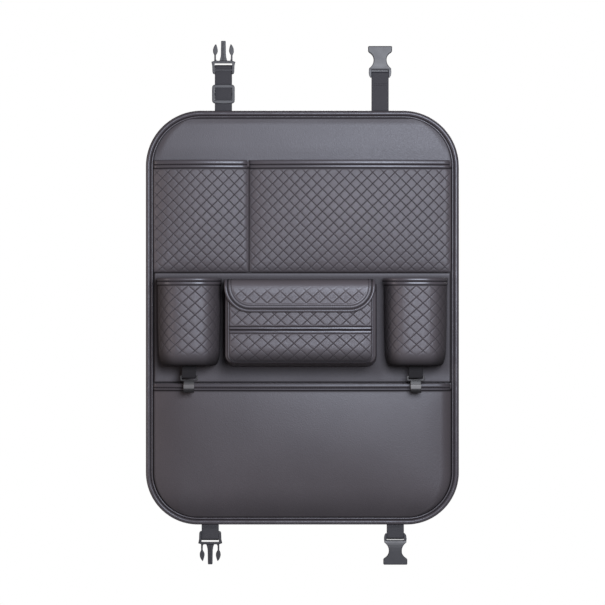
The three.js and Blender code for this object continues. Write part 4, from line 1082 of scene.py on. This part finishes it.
def make_gusset():
    """The box's pleated sides and bottom, from the panel to the edge of its front."""
    base = u_path(BOX_BASE_W / 2, BOX_BASE_Z, BOX_BACK_TOP, BOX_BASE_CORNER)
    base, face = (refined(p[None].repeat(2, axis=0), 2, 150)[0] for p in (base, face_path()))
    out = -line_normals(base)
    j = 1 - np.linspace(1, 0, 40) ** 1.5
    pleat = np.clip((abs(out[:, 0]) - 0.5) * 2, 0, 1)
    fold = 1 - abs(2 * j - 1)
    fold = 0.5 * fold + 0.5 * smooth(fold)
    swell = 5.2 * smooth((1 - j) / 0.07) * smooth((j - 0.35) / 0.5)
    depth = (4.0 * pleat[None] + 0.8 * (1 - pleat[None])) * fold[:, None]
    depth = 0.6 + depth - pleat[None] * swell[:, None]
    centre = base[None] + (face - base)[None] * j[:, None, None] - out[None] * depth[..., None]
    outer = np.zeros((len(j), len(base), 3))
    outer[..., 0] = BOX_X + centre[..., 0]
    outer[..., 1] = (BOX_BACK + (BOX_FRONT - BOX_BACK) * j)[:, None]
    outer[..., 2] = centre[..., 1]
    inner = outer.copy()
    inner[..., 0] -= out[None, :, 0] * SHEET
    inner[..., 2] -= out[None, :, 1] * SHEET
    points, faces = shell_mesh(outer, coarse(inner, 7, 51))
    # Painted shade in the pleats of the sides.
    painted_shade = 0.25 * pleat[None] * smooth(fold)[:, None]
    make("box_gusset", points, faces, "leather", ("tissue_box_gusset",), painted_shade=painted_shade)


def front_panel(name, low, high, replaces, quilt_threads, pillow):
    """A quilted part of the box's front, bowed as the whole front is, with a pillow of its own."""
    corner = 8.0
    zs = np.linspace(low, high, int((high - low) / 0.85))
    below = np.clip(BOX_FRONT_Z + BOX_PIPE_R + corner - zs, 0, corner)
    width = FACE_HALF - corner + np.sqrt(corner**2 - below**2)
    u = np.linspace(-1, 1, 216)
    x, z = panel_grid(width, zs, u)
    q = (z - BOX_FRONT_Z) / (BOX_FRONT_TOP - BOX_FRONT_Z)
    under_flap = 1 - 0.8 * smooth((z - FLAP_BOTTOM - 2) / 8)
    bow = FACE_BOW * (1 - abs(u[None]) ** 3) * smooth(q / 0.28) * under_flap
    rise = np.sin(math.pi * ((z - low) / (high - low)) ** 0.75)
    bow = bow + pillow * (1 - abs(u[None]) ** 8) * rise
    inner = np.stack([BOX_X + x, FACE + bow, z], axis=-1)
    t = z - zs[0]
    edge = edge_distance(x, t)
    front, cloth = quilted(inner, x, t, smooth(edge / 2.5), SMALL_QUILT, quilt_threads)
    points, faces = shell_mesh(front, coarse(inner, 9, 37))
    # Painted shade along the edges and towards the box's bottom.
    painted_shade = np.maximum(0.6 * bell(edge, 0.9), foot_shade(z - BOX_FRONT_Z, 24, 0.8))
    make_quilt(name, points, faces, replaces, cloth, painted_shade)


# Section of a lip of the slit: forward of its foot, and up
LIP_SECTION = (
    (-0.6, -1.9), (0.8, -2.15), (2.3, -1.95), (3.0, -1.1),
    (2.75, 1.1), (2.0, 1.9), (0.8, 2.15), (-0.6, 1.9),
)


def make_slit_lip(name, middle, phase):
    """A rounded lip along the slit, with its middle at a height and a slight wave."""
    x = np.linspace(-FACE_HALF, FACE_HALF, 120)
    section = rounded_section(LIP_SECTION, 0.5)
    # Painted shade on the back of the lip, where it meets the front.
    painted_shade = np.tile(smooth((0.5 - section[:, 0]) / 0.6), len(x))
    wave = 0.3 * 0.35 * np.sin(x / 7.5 + phase) * np.sin(x / 31)
    bow = FACE_BOW * (1 - abs(x / FACE_HALF) ** 3)
    path = np.stack([BOX_X + x, FACE + 0.9 + bow + wave, middle + wave], axis=1)
    points, faces = sweep(section_rings(path, facing_forward(len(x)), section))
    replaces = (f"tissue_slit_{name}_lip",)
    make(f"slit_{name}_lip", points, faces, "trim_leather", replaces, painted_shade=painted_shade)


def make_box_piping():
    """Piping along the seam between the box's front and its sides."""
    route = face_path()
    deep = np.full(len(route), BOX_FRONT + 0.9 + BOX_PIPE_R)
    path = np.stack([BOX_X + route[:, 0], deep, route[:, 1]], axis=1)
    out = -line_normals(route)
    normals = np.stack([out[:, 0], np.zeros(len(route)), out[:, 1]], axis=1)
    points, faces = tube(path, normals, BOX_PIPE_R, 12)
    # Painted shade on the piping's lower run, under the box.
    painted_shade = 0.7 * smooth((BOX_FRONT_Z + 10 - points[:, 2]) / 9)
    make("box_piping", points, faces, "trim_leather", ("tissue_box_piping",), painted_shade=painted_shade)


def make_box_front(quilt_threads):
    """The front in two parts, the lips of the slit between them, and the piping."""
    upper = SLIT_Z + SLIT_GAP / 2
    lower = SLIT_Z - SLIT_GAP / 2 - LIP_H
    for name, low, high, pillow in (
        ("upper", upper + LIP_H + 0.3, BOX_FRONT_TOP, 0),
        ("lower", FACE_FOOT, lower - 0.3, 2.8),
    ):
        front_panel(f"box_front_{name}", low, high, f"tissue_front_{name}", quilt_threads, pillow)
    make_slit_lip("upper", upper + LIP_H / 2 - 0.3, 0.0)
    make_slit_lip("lower", lower + LIP_H / 2 + 0.2, 1.7)
    make_box_piping()


def flap_profile(bottom, count):
    """Inner line of the flap from its hinge over the box and down, as forward and z."""
    knots = [(BOX_BACK, FLAP_TOP - 1.0), (20, FLAP_TOP - 1.3), (34, FLAP_TOP - 1.8)]
    start = np.array([FLAP_INNER - 9, 52.3])
    corner = np.array([FLAP_INNER - 0.6, 51.6])
    end = np.array([FLAP_INNER, 39.0])
    for f in np.linspace(0, 1, 9):
        knots.append(tuple((1 - f) ** 2 * start + 2 * f * (1 - f) * corner + f * f * end))
    knots += [(FLAP_INNER, z) for z in np.linspace(30, bottom, 6)]
    k = np.array(knots)
    lean = 0.3 - smooth((k[:, 1] - FLAP_BOTTOM) / 30)
    k[:, 0] += FLAP_LEAN * lean * smooth((k[:, 0] - 45) / 12)
    reach = reach_along(k)
    s = np.linspace(0, reach[-1], count)
    line = at_reach(s, reach, k)
    return refined(line[None].repeat(2, axis=0), 2, count)[0], s


def make_flap(threads, quilt_threads):
    """The lid: quilted, with two rows of stitches along its edge and piping round it."""
    trimmed = FLAP_PIPE_R + 0.2
    bottom = FLAP_BOTTOM + trimmed
    half = FLAP_HALF - trimmed
    corner = FLAP_CORNER - trimmed
    line, reach = flap_profile(bottom, 120)
    line, reach = line[::-1], reach[-1] - reach[::-1]
    below = np.clip(bottom + corner - line[:, 1], 0, corner)
    width = half - corner + np.sqrt(corner**2 - below**2)
    x, t = panel_grid(width, reach, np.linspace(-1, 1, 220))
    inner = np.zeros((*x.shape, 3))
    inner[..., 0] = FLAP_X + x
    inner[..., 1] = line[:, :1]
    inner[..., 2] = line[:, 1:]
    beside = np.maximum(abs(x) - (half - corner), 0)
    under = np.maximum(bottom + corner - inner[..., 2], 0)
    straight = np.minimum(half - abs(x), inner[..., 2] - bottom)
    edge = np.where((beside > 0) & (under > 0), corner - np.hypot(beside, under), straight)
    fade = smooth((reach[-1] - t - 55) / 15)
    front, cloth = quilted(inner, x, t, smooth((edge - 6.8) / 1.6) * fade, SMALL_QUILT, quilt_threads)
    rows = [bell(edge + trimmed - inset, 0.75) for inset in FLAP_SEAMS]
    band = 0.5 * smooth((edge - 0.3) / 1.0) * (1 - rows[0]) * (1 - rows[1])
    front = front + grid_normals(inner) * band[..., None]
    points, faces = shell_mesh(front, coarse(inner, 25, 37))
    # Painted shade along the edge and along the rows of stitches.
    painted_shade = np.maximum(bell(edge, 0.9), 0.5 * np.maximum(*rows))
    make_quilt("flap_quilt", points, faces, "tissue_flap", cloth, painted_shade, "flap")
    path, up = flap_edge_path(0.0, 0.0, 2.5)
    front = smooth((path[:, 1] - 46) / 14)
    path = path + up * (0.5 + 0.7 * front)[:, None]
    points, faces = tube(path, up, 1.5 + (FLAP_PIPE_R - 1.5) * front, 14)
    make("flap_piping", points, faces, "trim_leather", ("tissue_flap_piping",), "flap")
    for inset in FLAP_SEAMS:
        path, up = flap_edge_path(inset, PRESSED, 0.6)
        threads.along(path, up, pitch=3.2, length=2.4, lift=0.15)


def flap_edge_path(inset, lift, spacing):
    """A line round the flap at an inset and a height over its inner face, with its normals."""
    half, bottom = FLAP_HALF - inset, FLAP_BOTTOM + inset
    corner = max(4.0, FLAP_CORNER - inset)
    line, _ = flap_profile(bottom, 90)
    out = line_normals(line)
    straight = (line[:, 1] > bottom + corner + 0.5) & (line[:, 0] > BOX_BACK + 2.4)
    left = [(FLAP_X - half, *place, *slope) for place, slope in zip(line[straight], out[straight])]
    turn = np.linspace(0, math.pi / 2, 22)
    z = bottom + corner - corner * np.sin(turn)
    down = np.argsort(line[:, 1])
    known = np.concatenate([line[:, :1], out], axis=1)[down]
    forward, out_f, out_z = at_reach(z, line[down, 1], known).T
    x = FLAP_X - half + corner - corner * np.cos(turn)
    left += list(zip(x, forward, z, out_f, out_z))
    right = [(2 * FLAP_X - p[0], *p[1:]) for p in reversed(left)]
    p = np.array(left + right)
    place, up = p[:, :3], np.stack([np.zeros(len(p)), p[:, 3], p[:, 4]], axis=1)
    reach = reach_along(place)
    at = np.linspace(0, reach[-1], int(reach[-1] / spacing))
    up = unit(at_reach(at, reach, up))
    return at_reach(at, reach, place) + up * lift, up


# Webbing

def ribbon(name, line, half, place, replaces):
    """Webbing of a width along a line of (forward, z) points, with thin woven edges."""
    out = line_normals(line)
    x = np.array([-half, 0.5 - half, 1.6 - half, -half / 2, 0, half / 2, half - 1.6, half - 0.5, half])
    t = np.array([0.22, 0.40, 0.5, 0.5, 0.5, 0.5, 0.5, 0.40, 0.22]) * STRAP_PLY
    ring_x = np.concatenate([x, x[::-1]])
    ring_t = np.concatenate([t, -t[::-1]])
    rings = np.zeros((len(line), len(ring_x), 3))
    rings[..., 0] = place[0] + ring_x[None]
    rings[..., 1] = place[1] + line[:, :1] + out[:, :1] * ring_t[None]
    rings[..., 2] = place[2] + line[:, 1:] + out[:, 1:] * ring_t[None]
    points, faces = sweep(rings)
    return make(name, points, faces, "webbing", (replaces,))


def loop_line(bar, flare, tail):
    """Two plies that run together, part at flare and turn round a bar at the origin."""
    r = bar + 0.3 + STRAP_PLY / 2
    leg = STRAP_PLY / 2 + 0.03
    run = [(-leg, z) for z in np.linspace(-tail, -flare, 12)]
    turn = [(-r * math.sin(a), r * math.cos(a)) for a in np.linspace(math.pi / 2 + 0.12, 0, 9)]
    start, end = np.array(run[-1]), np.array(turn[0])
    bridge = []
    for f in np.linspace(0, 1, 8)[1:-1]:
        bridge.append(tuple(start + (end - start) * (0.35 * smooth(f) + 0.65 * f)))
    left = run + bridge + turn
    return np.array(left + [(-f, z) for f, z in reversed(left[:-1])])


def make_straps(threads):
    """The four folded straps, each sewn across below the buckle's bar."""
    for name, x, bar, side in STRAPS:
        tail = abs(bar) - (PANEL_H / 2 - 25)
        line = loop_line(1.6, 13.0, tail) * [1, side]
        ribbon(f"{name}_web", line, STRAP_W / 2 + 0.15, (x, STRAP_FORWARD, bar), name)
        if name == ADJUSTED_STRAP:
            continue
        for below in STRAP_SEAMS:
            across = np.zeros((30, 3)) + [0, STRAP_FORWARD + 1.35, bar - side * below]
            across[:, 0] = np.linspace(x - 10.5, x + 10.5, 30)
            threads.along(across, facing_forward(30), pitch=2.6, length=1.9, lift=0.0)


def make_hook_straps():
    """The webbing loops that hold the bag hooks under the cups."""
    for side, x in (("left", -CUP_X), ("right", CUP_X)):
        line = loop_line(1.4, 8.0, 14.8) * [1, -1]
        place = (x, HOOK_FORWARD, HOOK_Z)
        piece = ribbon(f"{side}_hook_web", line, 10.0, place, f"{side}_hook_strap")
        # The hook straps get the webbing that is darkened as painted shade.
        piece.data.materials[0] = hook_webbing


def finish_cad_nodes():
    """The moulded parts keep their CAD shape. Their material softens the edges."""
    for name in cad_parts:
        if not name.endswith(("_buckle", "_hook", "tri_glide")):
            continue
        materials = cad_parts[name].data.materials
        materials.clear()
        # The hooks get the plastic that is darkened as painted shade, with a painted highlight on the lip.
        materials.append(hook_plastic if name.endswith("_hook") else MATERIALS["plastic"])


panel_threads = Threads()
quilt_threads = Threads()
flap_threads = Threads()
make_cover()
make_binding(panel_threads)
make_lining()
for side, left, right, bulge, rise in (
    ("left", -POCKET_HALF, DIVIDE - 0.3, 10.0, 3.0),
    ("right", DIVIDE + 0.3, POCKET_HALF, 12.0, 0.0),
):
    make_upper_pocket(side, left, right, panel_threads, quilt_threads, bulge, rise)
make_middle_panel()
make_lower_pocket(panel_threads)
make_cup("left", -CUP_X, panel_threads, quilt_threads)
make_cup("right", CUP_X, panel_threads, quilt_threads)
make_gusset()
make_box_front(quilt_threads)
make_flap(flap_threads, quilt_threads)
make_straps(panel_threads)
make_hook_straps()
finish_cad_nodes()
for threads, name, body in (
    (panel_threads, "seam_stitches", "panel"),
    (quilt_threads, "quilt_stitches", "panel"),
    (flap_threads, "flap_stitches", "flap"),
):
    threads.build(name, body)


# Camera, floor and light

def area_light(name, place, target, size, power, color, height=None):
    """A square light that looks from its place at a target, or an upright one with a height."""
    data = bpy.data.lights.new(name, "AREA")
    data.energy = power
    data.color = color
    data.size = size
    if height:
        data.shape = "RECTANGLE"
        data.size_y = height
    lamp = added(name, data)
    lamp.location = place
    x, y, z = np.array(target) - np.array(place)
    lamp.rotation_euler = (math.atan2(math.hypot(x, y), -z), 0, math.atan2(x, -y) + math.pi)


def make_camera():
    """A camera in front of the object. The picture is as wide as view_width at the origin."""
    distance, view_width = 5.0, 0.8690
    data = bpy.data.cameras.new("camera")
    data.sensor_width = 36
    data.lens = data.sensor_width * distance / view_width
    data.clip_end = 50
    camera = added("camera", data)
    camera.location = (0.0002, -distance - 0.008, 0.0217)
    camera.rotation_euler = (math.pi / 2, 0, 0)
    bpy.context.scene.camera = camera


def make_floor():
    """A floor under the object, darker to the camera than to the light it reflects."""
    size, height = 1.5, -0.62
    corners = [(x * size, y * size, height) for x, y in ((-1, -1), (1, -1), (1, 1), (-1, 1))]
    mesh = bpy.data.meshes.new("floor")
    mesh.from_pydata(corners, [], [(0, 1, 2, 3)])
    floor = added("floor", mesh)
    m, tree, shader, _ = new_material("floor", (0.9, 0.9, 0.9), 0.8)
    path = tree.nodes.new("ShaderNodeLightPath")
    color = color_mix(tree, path.outputs["Is Camera Ray"], (0.35, 0.35, 0.35, 1), (0.9, 0.9, 0.9, 1))
    tree.links.new(color, shader.inputs["Base Color"])
    mesh.materials.append(m)


def make_world():
    world = bpy.data.worlds.new("world")
    bpy.context.scene.world = world
    world.use_nodes = True
    tree = world.node_tree
    tree.nodes.clear()
    out = tree.nodes.new("ShaderNodeOutputWorld")
    ambient = node(tree, "ShaderNodeBackground", Color=(0.95, 0.90, 0.90, 1), Strength=0.12)
    white = node(tree, "ShaderNodeBackground", Color=(1, 1, 1, 1), Strength=1.0)
    path = tree.nodes.new("ShaderNodeLightPath")
    mix = tree.nodes.new("ShaderNodeMixShader")
    tree.links.new(path.outputs["Is Camera Ray"], mix.inputs[0])
    tree.links.new(ambient.outputs[0], mix.inputs[1])
    tree.links.new(white.outputs[0], mix.inputs[2])
    tree.links.new(mix.outputs[0], out.inputs[0])


make_camera()
make_floor()
make_world()
area_light("key", (0.30, -1.5, 0.30), (0, 0, 0.02), size=0.6, power=25, color=(0.89, 0.92, 1.0))
area_light("side", (-1.5, -0.45, -0.05), (0, 0, 0), size=0.5, power=6, color=(1.0, 0.84, 0.76), height=1.2)
area_light("back", (0.6, 2.2, 1.0), (0, 0, 0), size=1.6, power=26, color=(1.0, 1.0, 1.0))

scene = bpy.context.scene
scene.view_settings.view_transform = "Standard"
